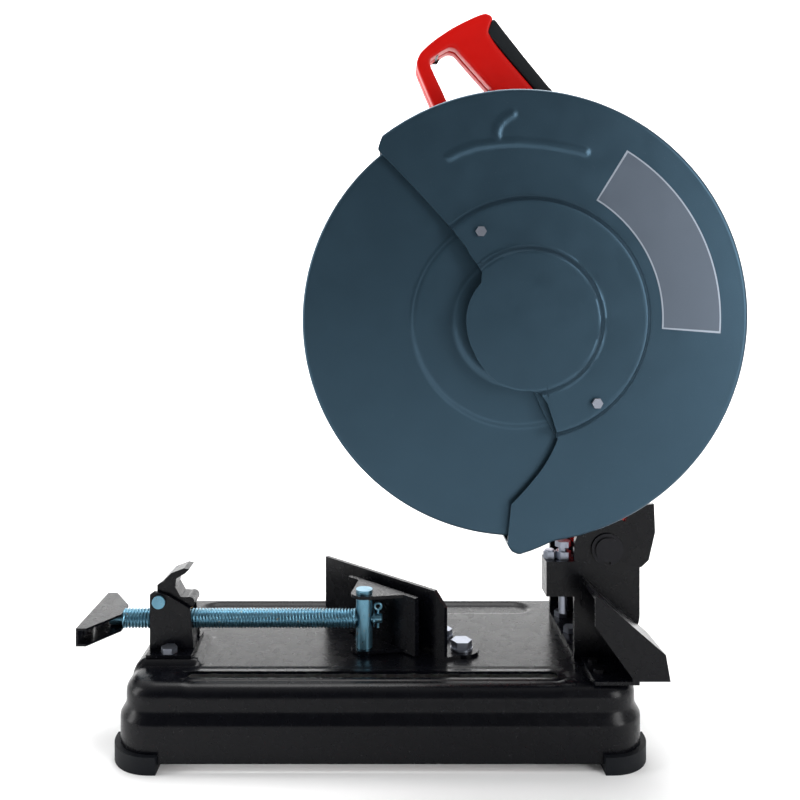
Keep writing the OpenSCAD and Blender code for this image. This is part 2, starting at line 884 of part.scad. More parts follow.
module screw_cotter()
    stand() color([0.7, 0.74, 0.8])
        translate([cotter_x, vise_y, vise_z]) {
            translate([-4.6, 0, 0])
                rotate([0, 90, 0])
                    washer(8, screw_end_r, 1.6);
            translate([0, 0, -9])
                cylinder(r = cotter_r - eps, h = 18);
            translate([0, 0, 11])
                rotate([90, 0, 0])
                    rotate_extrude()
                        translate([3, 0])
                            circle(r = 1.2);
        }

// ---- Head: arm, gear case, motor ----

module swing_arm()
    stand() color([0.72, 0.05, 0.03])
        difference() {
            union() {
                bar(barrel_r, brk_near + 7, brk_near + 36, pivot);
                bar(barrel_r, brk_far - 43, brk_far - 7, pivot);
                slab(brk_near + 24, brk_near + 36)
                    strap(pivot, barrel_r, knee, 19);
                slab(brk_far - 43, brk_far - 25)
                    strap(pivot, barrel_r, knee, 19);
                slab(case_back, brk_far - 25)
                    strap(knee, 19, arm_lug, 30);
                // Pad that lands on the stop bolt
                slab(brk_near + 6, brk_near + 26)
                    translate(stop_pad)
                        rotate(-tilt_range)
                            translate([-9, 0])
                                square([18, 12]);
                // Boss for the raised stop
                slab(hook_y + hook_t, brk_near + 15)
                    polygon([for (p = [[10, 0], [18, 24], [26, 34], [38, 30], [19, 0]]) pivot + p]);
            }
            bar(hinge_d / 2 + bush_wall + eps, brk_near, brk_far, pivot);
            for (p = arm_bolt_at)
                bar(4 + bolt_gap, case_back - 1, case_back + 22, p);
            slab(case_back + 12, brk_far - 37)
                strap(knee + [-6, 14], 10, arm_lug, 16);
        }

module arm_bushes()
    stand() color([0.6, 0.45, 0.2]) {
        ring(hinge_d / 2 + bush_wall, hinge_d / 2 + run_gap, brk_near + 7, brk_near + 36, pivot);
        ring(hinge_d / 2 + bush_wall, hinge_d / 2 + run_gap, brk_far - 43, brk_far - 7, pivot);
    }

// Hook that meets the bracket's back wall when the head is up
module up_stop_plate()
    stand() color([0.08, 0.08, 0.09])
        slab(hook_y, hook_y + hook_t - eps)
            polygon([
                pivot + [14, 16],
                pivot + [26, 38],
                pivot + [45, 40],
                pivot + [46, 14],
                pivot + [40, -12],
                pivot + [33, -18.4],
                pivot + [22.5, -18.4],
                pivot + [24, 6],
            ]);

module arm_bolts()
    stand() color([0.7, 0.74, 0.8])
        for (p = arm_bolt_at)
            translate([p[0], case_front + 6, p[1]])
                rotate([90, 0, 0])
                    hex_bolt(4, 50, 13, 5.3);

module case_outline(wall) {
    strap(arbor, case_gear_r - wall, motor, case_motor_r - wall);
    strap(arbor, case_gear_r - wall, arm_lug, 30 - wall);
}

module gear_case()
    stand() color([0.6, 0.62, 0.64])
        difference() {
            union() {
                slab(case_front, case_back)
                    case_outline(0);
                bar(nose_r, nose_front, case_front + eps, arbor);
                slab(case_front + 4, case_back)
                    translate(motor + [-22, case_motor_r - 14])
                        square([62, 24]);
                slab(hand_mid - tongue_half + 0.1, hand_mid + tongue_half - 0.1)
                    tongue_outline(0);
            }
            slab(gear_y - 1.5, gear_y + gear_w + 1.5)
                union() {
                    translate(arbor)
                        circle(r = gear_r + 3);
                    translate(motor)
                        circle(r = pinion_r + 4);
                }
            bar(bearing_r + eps, nose_front - 1, gear_y, arbor);
            bar(16 + eps, gear_y + gear_w + 1, case_back - 2, arbor);
            bar(spindle_r + 2, case_back - 3, case_back + 1, arbor);
            bar(17.5 + eps, case_back - 12, case_back + 1, motor);
            bar(11, gear_y, case_back, motor);
            for (p = arm_bolt_at) {
                bar(4 + bolt_gap, case_front - 1, case_back + 1, p);
                bar(8, case_front - 1, case_front + 6, p);
            }
            for (a = case_screw_a)
                bar(2.5 + bolt_gap, case_back - 16, case_back + 1, case_screw(a));
            for (a = guard_screw_a)
                bar(2 + bolt_gap, case_front - 1, case_front + 5.4, guard_screw(a));
            bar(lock_r + run_gap, gear_y + gear_w, case_back + 1, lock_at);
            for (p = tongue_screw_at)
                bar(2.5 + bolt_gap, case_front, case_back, p);
        }

module motor_housing()
    stand() color([0.72, 0.05, 0.03])
        difference() {
            union() {
                bar(motor_r, motor_front, motor_back - end_cap, motor);
                bar(case_motor_r, motor_front, motor_front + 6, motor);
                for (s = [-1, 1])
                    slab(motor_back - end_cap - 20, motor_back - end_cap - 4)
                        translate(motor + [s * (motor_r - 6), 0])
                            square([14, 15], center = true);
            }
            bar(motor_r - motor_wall, motor_front - 1, motor_back, motor);
            for (a = case_screw_a)
                bar(2.5 + bolt_gap, motor_front - 1, motor_front + 7, case_screw(a));
            for (a = case_screw_a)
                bar(5, motor_front + 6, motor_front + 20, case_screw(a));
            translate([motor[0] - 80, brush_y, motor[1]])
                rotate([0, 90, 0])
                    cylinder(r = 5.5, h = 160);
            // Cooling slots low on both sides
            for (a = [215, 235, 255, 275, 295, 315])
                translate([motor[0], motor_front + 30, motor[1]])
                    rotate([0, -a, 0])
                        translate([motor_r - 10, -14, -2])
                            cube([20, 28, 4]);
        }

module motor_end_cover()
    stand() color([0.06, 0.06, 0.065])
        difference() {
            union() {
                bar(motor_r, motor_back - end_cap, motor_back - 8, motor);
                taper(motor_r, motor_r - 8, motor_back - 8 - eps, motor_back, motor);
                bar(13, motor_back - 9, motor_back + 4, gland_at);
            }
            difference() {
                bar(motor_r - 4, motor_back - end_cap - 1, motor_back - 4, motor);
                bar(17, motor_back - 20, motor_back, motor);
                bar(13, motor_back - 9, motor_back, gland_at);
            }
            bar(13 + eps, motor_back - end_cap, motor_back - 7, motor);
            bar(gland_r + bolt_gap, motor_back - 20, motor_back + 5, gland_at);
            for (a = [60, 90, 120, 240, 270, 300])
                translate([motor[0], motor_back - 3, motor[1]])
                    rotate([0, -a, 0])
                        translate([22, -10, -3])
                            cube([18, 20, 6]);
            for (a = [0, 180])
                bar(2.25, motor_back - end_cap - 1, motor_back - 12, motor + (motor_r - 7) * [cos(a), sin(a)]);
        }

module motor_screws()
    stand() color([0.25, 0.25, 0.27])
        for (a = case_screw_a)
            translate([case_screw(a)[0], motor_front + 6, case_screw(a)[1]])
                rotate([-90, 0, 0])
                    hex_bolt(2.5, 20, 8, 3.5);

module stator()
    stand() color([0.45, 0.4, 0.36]) {
        difference() {
            bar(motor_r - motor_wall, motor_front + 24, motor_front + 58, motor);
            bar(28, motor_front + 23, motor_front + 59, motor);
        }
        for (y = [motor_front + 18, motor_front + 58 - eps])
            ring(41, 29, y, y + 6 + eps, motor);
    }

// Each brass holder and the carbon brush that slides in it
module brush_holders()
    stand() color([0.62, 0.5, 0.3])
        for (s = [-1, 1])
            translate(motor_at(brush_y))
                scale([s, 1, 1]) {
                    difference() {
                        translate([commutator_r + 3, -6, -6])
                            cube([brush_out - commutator_r - 3, 12, 12]);
                        translate([commutator_r, -3, -3.5])
                            cube([50, 6, 7]);
                    }
                    translate([commutator_r + pass_gap, -2.9, -3.4])
                        cube([16, 5.8, 6.8]);
                }

module brush_caps()
    stand() color([0.05, 0.05, 0.05])
        for (s = [-1, 1])
            translate([motor[0] + s * (brush_out + 0.1), brush_y, motor[1]])
                rotate([0, s * 90, 0])
                    difference() {
                        union() {
                            cylinder(r = 5.2, h = 6);
                            translate([0, 0, 6])
                                cylinder(r = 6.5, h = 2.5);
                        }
                        translate([0, 0, 7.5])
                            cube([12, 1.6, 3], center = true);
                    }

// Bearing: two races with the balls between them drawn as one torus
module bearing(ro, ri, y0, y1, p) {
    gap = (ro - ri) / 3.4;
    ring(ro, ro - gap, y0, y1, p);
    ring(ri + gap, ri, y0, y1, p);
    translate([p[0], (y0 + y1) / 2, p[1]])
        rotate([90, 0, 0])
            rotate_extrude()
                translate([(ro + ri) / 2, 0])
                    circle(r = gap * 0.95, $fn = 32);
}

module motor_bearings()
    stand() color([0.75, 0.77, 0.8]) {
        bearing(17.5, 7.5 + eps, case_back - 11, case_back, motor);
        bearing(13, 5 + eps, motor_back - 20, motor_back - 7 - eps, motor);
    }

module spindle_bearings()
    stand() color([0.75, 0.77, 0.8]) {
        bearing(bearing_r, spindle_r + run_gap, nose_front + 1, nose_front + 13, arbor);
        bearing(16, 6 + run_gap, case_back - 12, case_back - 2 - eps, arbor);
    }

module cord_gland()
    stand() color([0.04, 0.04, 0.04])
        difference() {
            union() {
                bar(gland_r, motor_back - 6, motor_back + 6, gland_at);
                ring(gland_r + 2, cord_d / 2, motor_back + 4, motor_back + 7, gland_at);
                taper(gland_r, cord_d / 2 + 1.3, motor_back + 6, motor_back + 34, gland_at);
            }
            bar(cord_d / 2, motor_back - 10, motor_back + 40, gland_at);
        }

// ---- Turning parts ----

module armature()
    stand() color([0.7, 0.55, 0.4])
        union() {
            bar(27, motor_front + 26, motor_front + 56, motor);
            bar(22, motor_front + 20, motor_front + 62, motor);
            bar(commutator_r, motor_front + 60, motor_back - end_cap - 3, motor);
            bar(7.5 - run_gap, gear_y + gear_w + 3, motor_front + 26, motor);
            bar(5 - run_gap, motor_front + 60, motor_back - 8, motor);
            slab(gear_y + 0.5, gear_y + gear_w + 3 + eps)
                translate(motor)
                    polygon(gear_points(pinion_teeth, motor_dir + 180));
        }

module cooling_fan()
    stand() color([0.1, 0.1, 0.11])
        union() {
            ring(42, 7.5, motor_front + 5, motor_front + 7, motor);
            ring(12, 7.5, motor_front + 5, motor_front + 16, motor);
            for (k = [0:10])
                translate([motor[0], motor_front + 6, motor[1]])
                    rotate([0, k * 360 / 11, 0])
                        translate([10.5, 0, 1])
                            cube([29, 9, 1.8]);
        }

module spindle()
    stand() color([0.62, 0.64, 0.67])
        difference() {
            union() {
                bar(6, case_back - 14, case_back - 3, arbor);
                bar(10, gear_y, case_back - 14, arbor);
                bar(spindle_r, wheel_y + 8, gear_y + eps, arbor);
                bar(8, wheel_y - wheel_t / 2 - 5, wheel_y + 9, arbor);
            }
            bar(5, wheel_y - 20, wheel_y + 16, arbor);
        }

module spindle_gear()
    stand() color([0.5, 0.5, 0.5])
        difference() {
            slab(gear_y, gear_y + gear_w)
                translate(arbor)
                    polygon(gear_points(gear_teeth, motor_dir + 180 / gear_teeth));
            bar(10 + eps, gear_y - 1, gear_y + gear_w + 1, arbor);
            for (k = [0:lock_holes - 1])
                bar(lock_r + 0.8, gear_y - 1, gear_y + gear_w + 1, lock_spot(k * 360 / lock_holes));
        }

module inner_flange()
    stand() color([0.6, 0.62, 0.65])
        difference() {
            union() {
                bar(flange_r, wheel_y + wheel_t / 2, wheel_y + wheel_t / 2 + 4.5, arbor);
                bar(seat_r - 0.05, wheel_y - wheel_t / 2 + 0.4, wheel_y + wheel_t / 2 + 1, arbor);
            }
            bar(8 + eps, wheel_y - 20, wheel_y + 20, arbor);
        }

module abrasive_wheel()
    stand() color([0.16, 0.15, 0.15])
        ring(wheel_d / 2, seat_r, wheel_y - wheel_t / 2, wheel_y + wheel_t / 2, arbor);

module outer_flange()
    stand() color([0.6, 0.62, 0.65])
        difference() {
            bar(flange_r, wheel_y - wheel_t / 2 - 5, wheel_y - wheel_t / 2, arbor);
            bar(8 + eps, wheel_y - 20, wheel_y + 20, arbor);
            bar(flange_r - 10, wheel_y - wheel_t / 2 - 0.6, wheel_y, arbor);
        }

module arbor_bolt()
    stand() color([0.3, 0.31, 0.33])
        translate([arbor[0], wheel_y - wheel_t / 2 - 5, arbor[1]])
            rotate([90, 0, 0]) {
                washer(14, 4.9, 2.5);
                translate([0, 0, 2.5 - eps])
                    hex_bolt(5 - eps, 22, 17, 6.4);
            }

// Button on the case's back that pushes a pin into the spindle gear
module shaft_lock()
    stand() color([0.05, 0.05, 0.05])
        union() {
            bar(lock_r, gear_y + gear_w + 2, case_back + 6, lock_at);
            bar(7, case_back + 6 - eps, case_back + 13, lock_at);
        }

// ---- Guards ----

// The fixed guard's face: all of the disc above and right of its two cut edges
module guard_keep()
    polygon([
        fixed_c + [-400, 555],
        fixed_c + [400, 555],
        fixed_c + [400, -400],
        fixed_c + [-0.9, -400],
        fixed_c + [-0.9, -205],
        fixed_c + [-8, -201],
        fixed_c + [-11.2, -194.5],
        fixed_c + [-8, -159.7],
        fixed_c + [9.4, -141.3],
        fixed_c + [18.1, -130.4],
        fixed_c + [31.7, -104.4],
        arbor + [6, -40],
        arbor + [-20, 30],
        fixed_c + [-45.5, 57.1],
        fixed_c + [-62.9, 78.4],
        fixed_c + [-119.5, 138.9],
        fixed_c + [-122.1, 142.3],
        fixed_c + [-115.3, 160.1],
    ]);

module guard_face() {
    intersection() {
        translate(fixed_c)
            circle(r = fixed_r);
        guard_keep();
    }
    // The lower lip runs out past the disc
    polygon([
        fixed_c + [-11, -190],
        fixed_c + [-11.2, -194.5],
        fixed_c + [-8, -201],
        fixed_c + [-0.9, -204],
        fixed_c + [28, -192.2],
        fixed_c + [22, -186],
    ]);
}

module fixed_guard()
    stand() color([0.2, 0.28, 0.35])
        difference() {
            slab(guard_front, guard_back)
                union() {
                    guard_face();
                    translate(arbor)
                        circle(r = nose_r + 16);
                }
            slab(guard_front + guard_sheet, guard_back - guard_sheet)
                union() {
                    translate(fixed_c)
                        circle(r = fixed_r - guard_sheet);
                    translate(fixed_c - [10, 202])
                        square([36, 20]);
                    translate(arbor)
                        circle(r = nose_r + 17);
                }
            bar(nose_r + 22, guard_front - 1, guard_front + 3, arbor);
            bar(nose_r + bolt_gap, guard_back - 4, guard_back + 1, arbor);
            for (a = guard_screw_a)
                bar(2 + bolt_gap, guard_back - 4, guard_back + 1, guard_screw(a));
            for (p = [cover_pin, cover_lock])
                bar(2.5 + bolt_gap, guard_front - 1, guard_front + 3, p);
        }

module guard_screws()
    stand() color([0.7, 0.74, 0.8])
        for (a = guard_screw_a)
            translate([guard_screw(a)[0], guard_back - guard_sheet, guard_screw(a)[1]])
                rotate([90, 0, 0])
                    hex_bolt(2, 6.5, 7, 2.4);

module moving_guard()
    stand() color([0.2, 0.28, 0.35])
        difference() {
            union() {
                slab(move_front, move_back)
                    translate(arbor)
                        intersection() {
                            circle(r = move_r);
                            sector(260, move_from, move_to);
                        }
                bar(93, move_front - 1.2, move_front + guard_sheet, arbor);
                bar(57, move_front - 2.2, move_front + guard_sheet, arbor);
                bar(nose_r + 14, move_back - guard_sheet, move_back, arbor);
            }
            slab(move_front + guard_sheet, move_back - guard_sheet)
                translate(arbor)
                    circle(r = move_r - guard_sheet);
            bar(91.5, move_front + guard_sheet - 1.2, move_front + 6, arbor);
            bar(55.5, move_front + guard_sheet - 2.2, move_front + 6, arbor);
            bar(30, move_front - 3, move_front + 6, arbor);
            bar(nose_r + run_gap, move_back - 4, move_back + 1, arbor);
        }

module guard_ring()
    stand() color([0.3, 0.31, 0.33])
        difference() {
            ring(nose_r + 4, nose_r + eps, move_back - guard_sheet - 1.8, move_back - guard_sheet - 0.4, arbor);
            slab(nose_front - 2, move_back)
                translate(arbor - [3, 60])
                    square([6, 60]);
        }

module guard_spring()
    stand() color([0.55, 0.57, 0.6])
        translate([arbor[0], guard_back - guard_sheet - 3.4, arbor[1]])
            coil(nose_r + 1.4, 0.6, 1.5, 1.3, 240, 6, 6);

// The hub cover's left edge waves in and out round the wheel bolt
module cover_keep()
    polygon([
        cover_c + [-69.5, 79.7],
        cover_c + [-53.1, 58.7],
        cover_c + [-54, 51.9],
        cover_c + [-43.9, 44.4],
        cover_c + [-41.4, 37.7],
        cover_c + [-42.2, 29.3],
        cover_c + [-50.6, 16.7],
        cover_c + [-54.4, 3.2],
        cover_c + [-54, -11],
        cover_c + [-48.1, -29.1],
        cover_c + [-37.2, -45.5],
        cover_c + [-22.9, -57.2],
        cover_c + [-9.5, -60.6],
        cover_c + [-1.1, -60.6],
        cover_c + [9, -63.9],
        cover_c + [15.7, -72.3],
        cover_c + [19.9, -87.4],
        cover_c + [22.9, -101.7],
        cover_c + [30, -150],
        cover_c + [150, -150],
        cover_c + [150, 150],
        cover_c + [-100, 150],
    ]);

module hub_cover()
    stand() color([0.2, 0.28, 0.35])
        difference() {
            intersection() {
                union() {
                    taper(cover_r - 6, cover_r, cover_face, cover_back, cover_c);
                    taper(dome_r - 7, dome_r, dome_face, cover_face + eps, dome_c);
                }
                slab(dome_face - 1, guard_front)
                    cover_keep();
            }
            taper(cover_in - 6, cover_in, cover_face + guard_sheet, cover_back + eps, cover_c);
            taper(dome_in - 7, dome_in, dome_face + guard_sheet, cover_face + 3, dome_c);
            bar(2.5 + run_gap, cover_face - 1, cover_face + 3, cover_pin);
            bar(2.5 + bolt_gap, cover_face - 1, cover_face + 3, cover_lock);
            // Open end of the lock bolt's slot
            slab(cover_face - 1, cover_face + 3)
                translate(cover_pin)
                    intersection() {
                        difference() {
                            circle(r = cover_span + 2.5 + bolt_gap);
                            circle(r = cover_span - 2.5 - bolt_gap);
                        }
                        sector(2 * cover_span, cover_turn, cover_turn + 30);
                    }
        }

// Bolts that hold the hub cover, each with a spacer between the cover and the guard
module cover_bolts()
    stand() color([0.7, 0.74, 0.8])
        for (p = [cover_pin, cover_lock]) {
            translate([p[0], cover_face - 0.3, p[1]])
                rotate([90, 0, 0])
                    hex_bolt(2.5, cover_rise + 2.2, 8, 3.5);
            ring(5, 2.5 - eps, cover_face + guard_sheet + 0.3, guard_front, p);
        }

// ---- Handle ----

module handle_outline()
    difference() {
        translate(hand_o)
            difference() {
                polygon(hand_outer);
                polygon(hand_inner);
            }
        pad_outline();
    }

module pad_outline()
    translate(hand_o)
        polygon(pad_edge);

module trigger_shape(grow)
    polygon([
        trig_pin + [-9 - grow, -5 - grow],
        trig_top + [-8 - grow, -4 - grow],
        trig_top + [-3 - grow, 3 + grow],
        trig_top + [11 + grow, 12 + grow],
        trig_pin + [12 + grow, 10 + grow],
        trig_pin + [9 + grow, -1 - grow],
    ]);

module tongue_outline(grow)
    translate(hand_o - [15 + grow, 1])
        square([45 + 2 * grow, 26 + grow]);

module handle_half(y0, y1)
    difference() {
        slab(y0, y1)
            handle_outline();
        slab(hand_mid - trig_half - 1, hand_mid + trig_half + 1)
            for (a = [0, trig_travel / 2, trig_travel])
                translate(trig_pin)
                    rotate(-a)
                        translate(-trig_pin)
                            trigger_shape(1.2);
        bar(2, hand_mid - 10, hand_mid + 10, trig_pin);
        for (p = hand_screw_at) {
            bar(2.5 + bolt_gap, hand_back - 27, hand_back + 1, p);
            bar(5.5, hand_back - 6, hand_back + 1, p);
        }
        slab(hand_mid - tongue_half, hand_mid + tongue_half)
            tongue_outline(0.2);
        bar(lock_off_r + run_gap, hand_mid, hand_back + 1, lock_off_at);
    }

module handle_front()
    stand() color([0.72, 0.05, 0.03])
        handle_half(hand_front, hand_mid);

module handle_back()
    stand() color([0.72, 0.05, 0.03])
        handle_half(hand_mid, hand_back);

module handle_screws()
    stand() color([0.3, 0.3, 0.32])
        for (p = hand_screw_at)
            translate([p[0], hand_back - 6, p[1]])
                rotate([-90, 0, 0])
                    hex_bolt(2.5, 20, 8, 3.5);

module grip_pad()
    stand() color([0.05, 0.05, 0.055])
        slab(hand_front, hand_back)
            difference() {
                pad_outline();
                translate(hand_o)
                    polygon([[-22, 0], [-60, 200], [-12, 154], [-12, 150], [29, 103], [60, 67]]);
            }

module trigger()
    stand() color([0.05, 0.05, 0.05])
        union() {
            slab(hand_mid - trig_half, hand_mid + trig_half)
                trigger_shape(0);
            bar(2 - run_gap, hand_mid - 9.5, hand_mid + 9.5, trig_pin);
        }

module lock_off_button()
    stand() color([0.05, 0.05, 0.05])
        bar(lock_off_r, hand_mid + trig_half + 4, hand_back + 3.5, lock_off_at);

// ---- The parts ----

base_tray();
corner_foot(-1, -1);  // foot_front_left
corner_foot(1, -1);  // foot_front_right
corner_foot(-1, 1);  // foot_rear_left
corner_foot(1, 1);  // foot_rear_right
hinge_bracket();
base_bolts();
hinge_shaft();
shaft_rings();
stop_bolts();
return_spring();
spark_hood();
hood_screws();
fence();
fence_bolts();
vise_bracket();
lever_pin();
release_lever();
half_nut();
jaw_pin();
vise_jaw();
vise_screw();
vise_handle();
screw_cotter();
swing_arm();
arm_bushes();
up_stop_plate();
arm_bolts();
gear_case();
motor_housing();
motor_end_cover();
motor_screws();
stator();
brush_holders();
brush_caps();
motor_bearings();
spindle_bearings();
cord_gland();
armature();
cooling_fan();
spindle();
spindle_gear();
inner_flange();
abrasive_wheel();
outer_flange();
arbor_bolt();
shaft_lock();
fixed_guard();
guard_screws();
moving_guard();
guard_spring();
guard_ring();
hub_cover();
cover_bolts();
handle_front();
handle_back();
handle_screws();
grip_pad();
trigger();
lock_off_button();
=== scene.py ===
"""Looks of an abrasive chop saw: pressed guards, stove-enamelled tray, red handle and zinc-plated
vise screw.

Metres, +Z up, +X to the hinge end, +Y from the wheel to the motor.
"""

import json
import math

import bmesh
import bpy
import numpy as np
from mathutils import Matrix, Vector


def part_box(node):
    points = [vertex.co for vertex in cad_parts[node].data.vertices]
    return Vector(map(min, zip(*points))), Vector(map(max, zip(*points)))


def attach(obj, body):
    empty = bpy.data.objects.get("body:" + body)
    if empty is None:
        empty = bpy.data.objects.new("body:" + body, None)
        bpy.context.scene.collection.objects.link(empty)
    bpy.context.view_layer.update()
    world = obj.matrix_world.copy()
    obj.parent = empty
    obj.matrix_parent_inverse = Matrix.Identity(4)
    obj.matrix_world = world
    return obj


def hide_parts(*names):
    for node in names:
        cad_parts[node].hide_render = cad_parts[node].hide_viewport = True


MM = 0.001
TAU = 2 * math.pi

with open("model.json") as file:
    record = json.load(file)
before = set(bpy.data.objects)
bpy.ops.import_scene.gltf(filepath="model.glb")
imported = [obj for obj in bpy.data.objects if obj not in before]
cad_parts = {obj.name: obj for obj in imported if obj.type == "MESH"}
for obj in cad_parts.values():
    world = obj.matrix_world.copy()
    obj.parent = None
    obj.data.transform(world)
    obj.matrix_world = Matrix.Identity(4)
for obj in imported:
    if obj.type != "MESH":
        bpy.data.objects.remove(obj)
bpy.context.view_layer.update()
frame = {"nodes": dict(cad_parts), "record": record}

joint = {j["name"]: j for j in frame["record"]["behaviour"]["joints"]}
arbor = np.array(joint["wheel_spin"]["pos_m"])[[0, 2]]
pivot = np.array(joint["head_tilt"]["pos_m"])[[0, 2]]
motor = np.array(joint["armature_spin"]["pos_m"])[[0, 2]]


def box(node):
    """Lowest and highest corner of a CAD node as two arrays."""
    low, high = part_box(node)
    return np.array(low), np.array(high)


# ---------------------------------------------------------------- surfaces


def grid_faces(rows, columns, wrap=False):
    """Quads of a grid numbered row by row; wrap joins the last row to the first."""
    last = rows if wrap else rows - 1
    i = np.arange(last)[:, None]
    j = np.arange(columns - 1)[None, :]
    ahead = (i + 1) % rows
    quads = [i * columns + j, ahead * columns + j, ahead * columns + j + 1, i * columns + j + 1]
    return np.stack(np.broadcast_arrays(*quads), -1).reshape(-1, 4)


def rim_edges(faces):
    """Directed edges that only one quad uses: the open rim of a surface."""
    a = np.concatenate([faces[:, k] for k in range(4)])
    b = np.concatenate([faces[:, (k + 1) % 4] for k in range(4)])
    size = int(faces.max()) + 1
    forward = a.astype(np.int64) * size + b
    backward = b.astype(np.int64) * size + a
    open_rim = ~np.isin(forward, backward)
    return a[open_rim], b[open_rim]


def walled(front, back, faces):
    """Sheet with thickness: a front surface, the same grid moved back, and a wall round every open rim."""
    count = len(front)
    a, b = rim_edges(faces)
    wall = np.stack([b, a, a + count, b + count], -1)
    return np.concatenate([front, back]), np.concatenate([faces, faces[:, ::-1] + count, wall])


def joined(*shells):
    """Several (points, quads) shells as one."""
    points, faces, start = [], [], 0
    for p, f in shells:
        points.append(p)
        faces.append(np.asarray(f) + start)
        start += len(p)
    return np.concatenate(points), np.concatenate(faces)


def piece(name, shell, finish, body, replaces=(), sharp=32):
    """Makes a mesh from a shell, points its faces outwards and lets it ride on a body."""
    points, faces = shell
    mesh = bpy.data.meshes.new(name)
    mesh.from_pydata(np.asarray(points, float).tolist(), [], np.asarray(faces).tolist())
    work = bmesh.new()
    work.from_mesh(mesh)
    bmesh.ops.remove_doubles(work, verts=work.verts, dist=2e-6)
    bmesh.ops.dissolve_degenerate(work, edges=work.edges, dist=1e-7)
    bmesh.ops.recalc_face_normals(work, faces=work.faces)
    work.to_mesh(mesh)
    work.free()
    mesh.shade_smooth()
    mesh.set_sharp_from_angle(angle=math.radians(sharp))
    thing = bpy.data.objects.new(name, mesh)
    bpy.context.scene.collection.objects.link(thing)
    mesh.materials.append(finish)
    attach(thing, body)
    if replaces:
        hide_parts(*replaces)
    return thing


def capped(rings):
    """Closed skin over a stack of rings, its two ends drawn to their middles. rings is (stations,
    points, 3)."""
    first = np.repeat(rings[:1].mean(1, keepdims=True), rings.shape[1], 1)
    last = np.repeat(rings[-1:].mean(1, keepdims=True), rings.shape[1], 1)
    stack = np.concatenate([first, rings, last])
    stations, around = stack.shape[:2]
    faces = grid_faces(around, stations, wrap=True)
    return np.swapaxes(stack, 0, 1).reshape(-1, 3), faces


def smooth(x):
    x = np.clip(x, 0, 1)
    return x * x * (3 - 2 * x)


def to_polyline(x, z, line):
    """Distance from points to a polyline of (x, z) corners."""
    best = np.full(np.shape(x), 1e9)
    for (ax, az), (bx, bz) in zip(line[:-1], line[1:]):
        dx, dz = bx - ax, bz - az
        t = np.clip(((x - ax) * dx + (z - az) * dz) / (dx * dx + dz * dz), 0, 1)
        best = np.minimum(best, np.hypot(x - ax - t * dx, z - az - t * dz))
    return best


# ---------------------------------------------------------------- finishes


def finish(name, colour, rough, metal=0.0, mottle=0.12, mottle_size=0.03, grain=0.0, grain_size=0.001,
           rough_spread=0.08, worn=None, worn_share=0.0, worn_size=0.004, stretch=(1, 1, 1),
           spec=0.5):
    """Procedural finish: cloudy tone, uneven gloss, a fine grain in the relief and a scatter of
    worn flecks."""
    made = bpy.data.materials.new(name)
    made.use_nodes = True
    tree = made.node_tree
    nodes, links = tree.nodes, tree.links
    nodes.clear()
    out = nodes.new("ShaderNodeOutputMaterial")
    shader = nodes.new("ShaderNodeBsdfPrincipled")
    links.new(shader.outputs["BSDF"], out.inputs["Surface"])
    shader.inputs["Base Color"].default_value = (*colour, 1)
    shader.inputs["Roughness"].default_value = rough
    shader.inputs["Metallic"].default_value = metal
    shader.inputs["Specular IOR Level"].default_value = spec
    place = nodes.new("ShaderNodeTexCoord")
    mapped = nodes.new("ShaderNodeMapping")
    mapped.inputs["Scale"].default_value = stretch
    links.new(place.outputs["Object"], mapped.inputs["Vector"])

    def noise(size, detail=3.0):
        n = nodes.new("ShaderNodeTexNoise")
        n.inputs["Scale"].default_value = 1 / size
        n.inputs["Detail"].default_value = detail
        links.new(mapped.outputs["Vector"], n.inputs["Vector"])
        return n

    cloud = noise(mottle_size, 5.0)
    tone = nodes.new("ShaderNodeMix")
    tone.data_type = "RGBA"
    tone.inputs["A"].default_value = (*[c * (1 - mottle) for c in colour], 1)
    tone.inputs["B"].default_value = (*[min(1, c * (1 + mottle)) for c in colour], 1)
    links.new(cloud.outputs["Fac"], tone.inputs["Factor"])
    surface = tone.outputs["Result"]
    gloss = nodes.new("ShaderNodeMapRange")
    gloss.inputs["To Min"].default_value = max(0.03, rough - rough_spread)
    gloss.inputs["To Max"].default_value = min(1.0, rough + rough_spread)
    links.new(noise(mottle_size * 0.37, 4.0).outputs["Fac"], gloss.inputs["Value"])
    links.new(gloss.outputs["Result"], shader.inputs["Roughness"])
    if worn:
        patch = nodes.new("ShaderNodeMapRange")
        patch.inputs["From Min"].default_value = 0.72 - worn_share
        patch.inputs["From Max"].default_value = 0.76 - worn_share
        links.new(noise(worn_size, 6.0).outputs["Fac"], patch.inputs["Value"])
        chip = nodes.new("ShaderNodeMix")
        chip.data_type = "RGBA"
        chip.inputs["B"].default_value = (*worn, 1)
        links.new(surface, chip.inputs["A"])
        links.new(patch.outputs["Result"], chip.inputs["Factor"])
        surface = chip.outputs["Result"]
    links.new(surface, shader.inputs["Base Color"])
    if grain:
        relief = nodes.new("ShaderNodeBump")
        relief.inputs["Strength"].default_value = grain
        relief.inputs["Distance"].default_value = 0.0004
        links.new(noise(grain_size, 2.0).outputs["Fac"], relief.inputs["Height"])
        links.new(relief.outputs["Normal"], shader.inputs["Normal"])
    return made


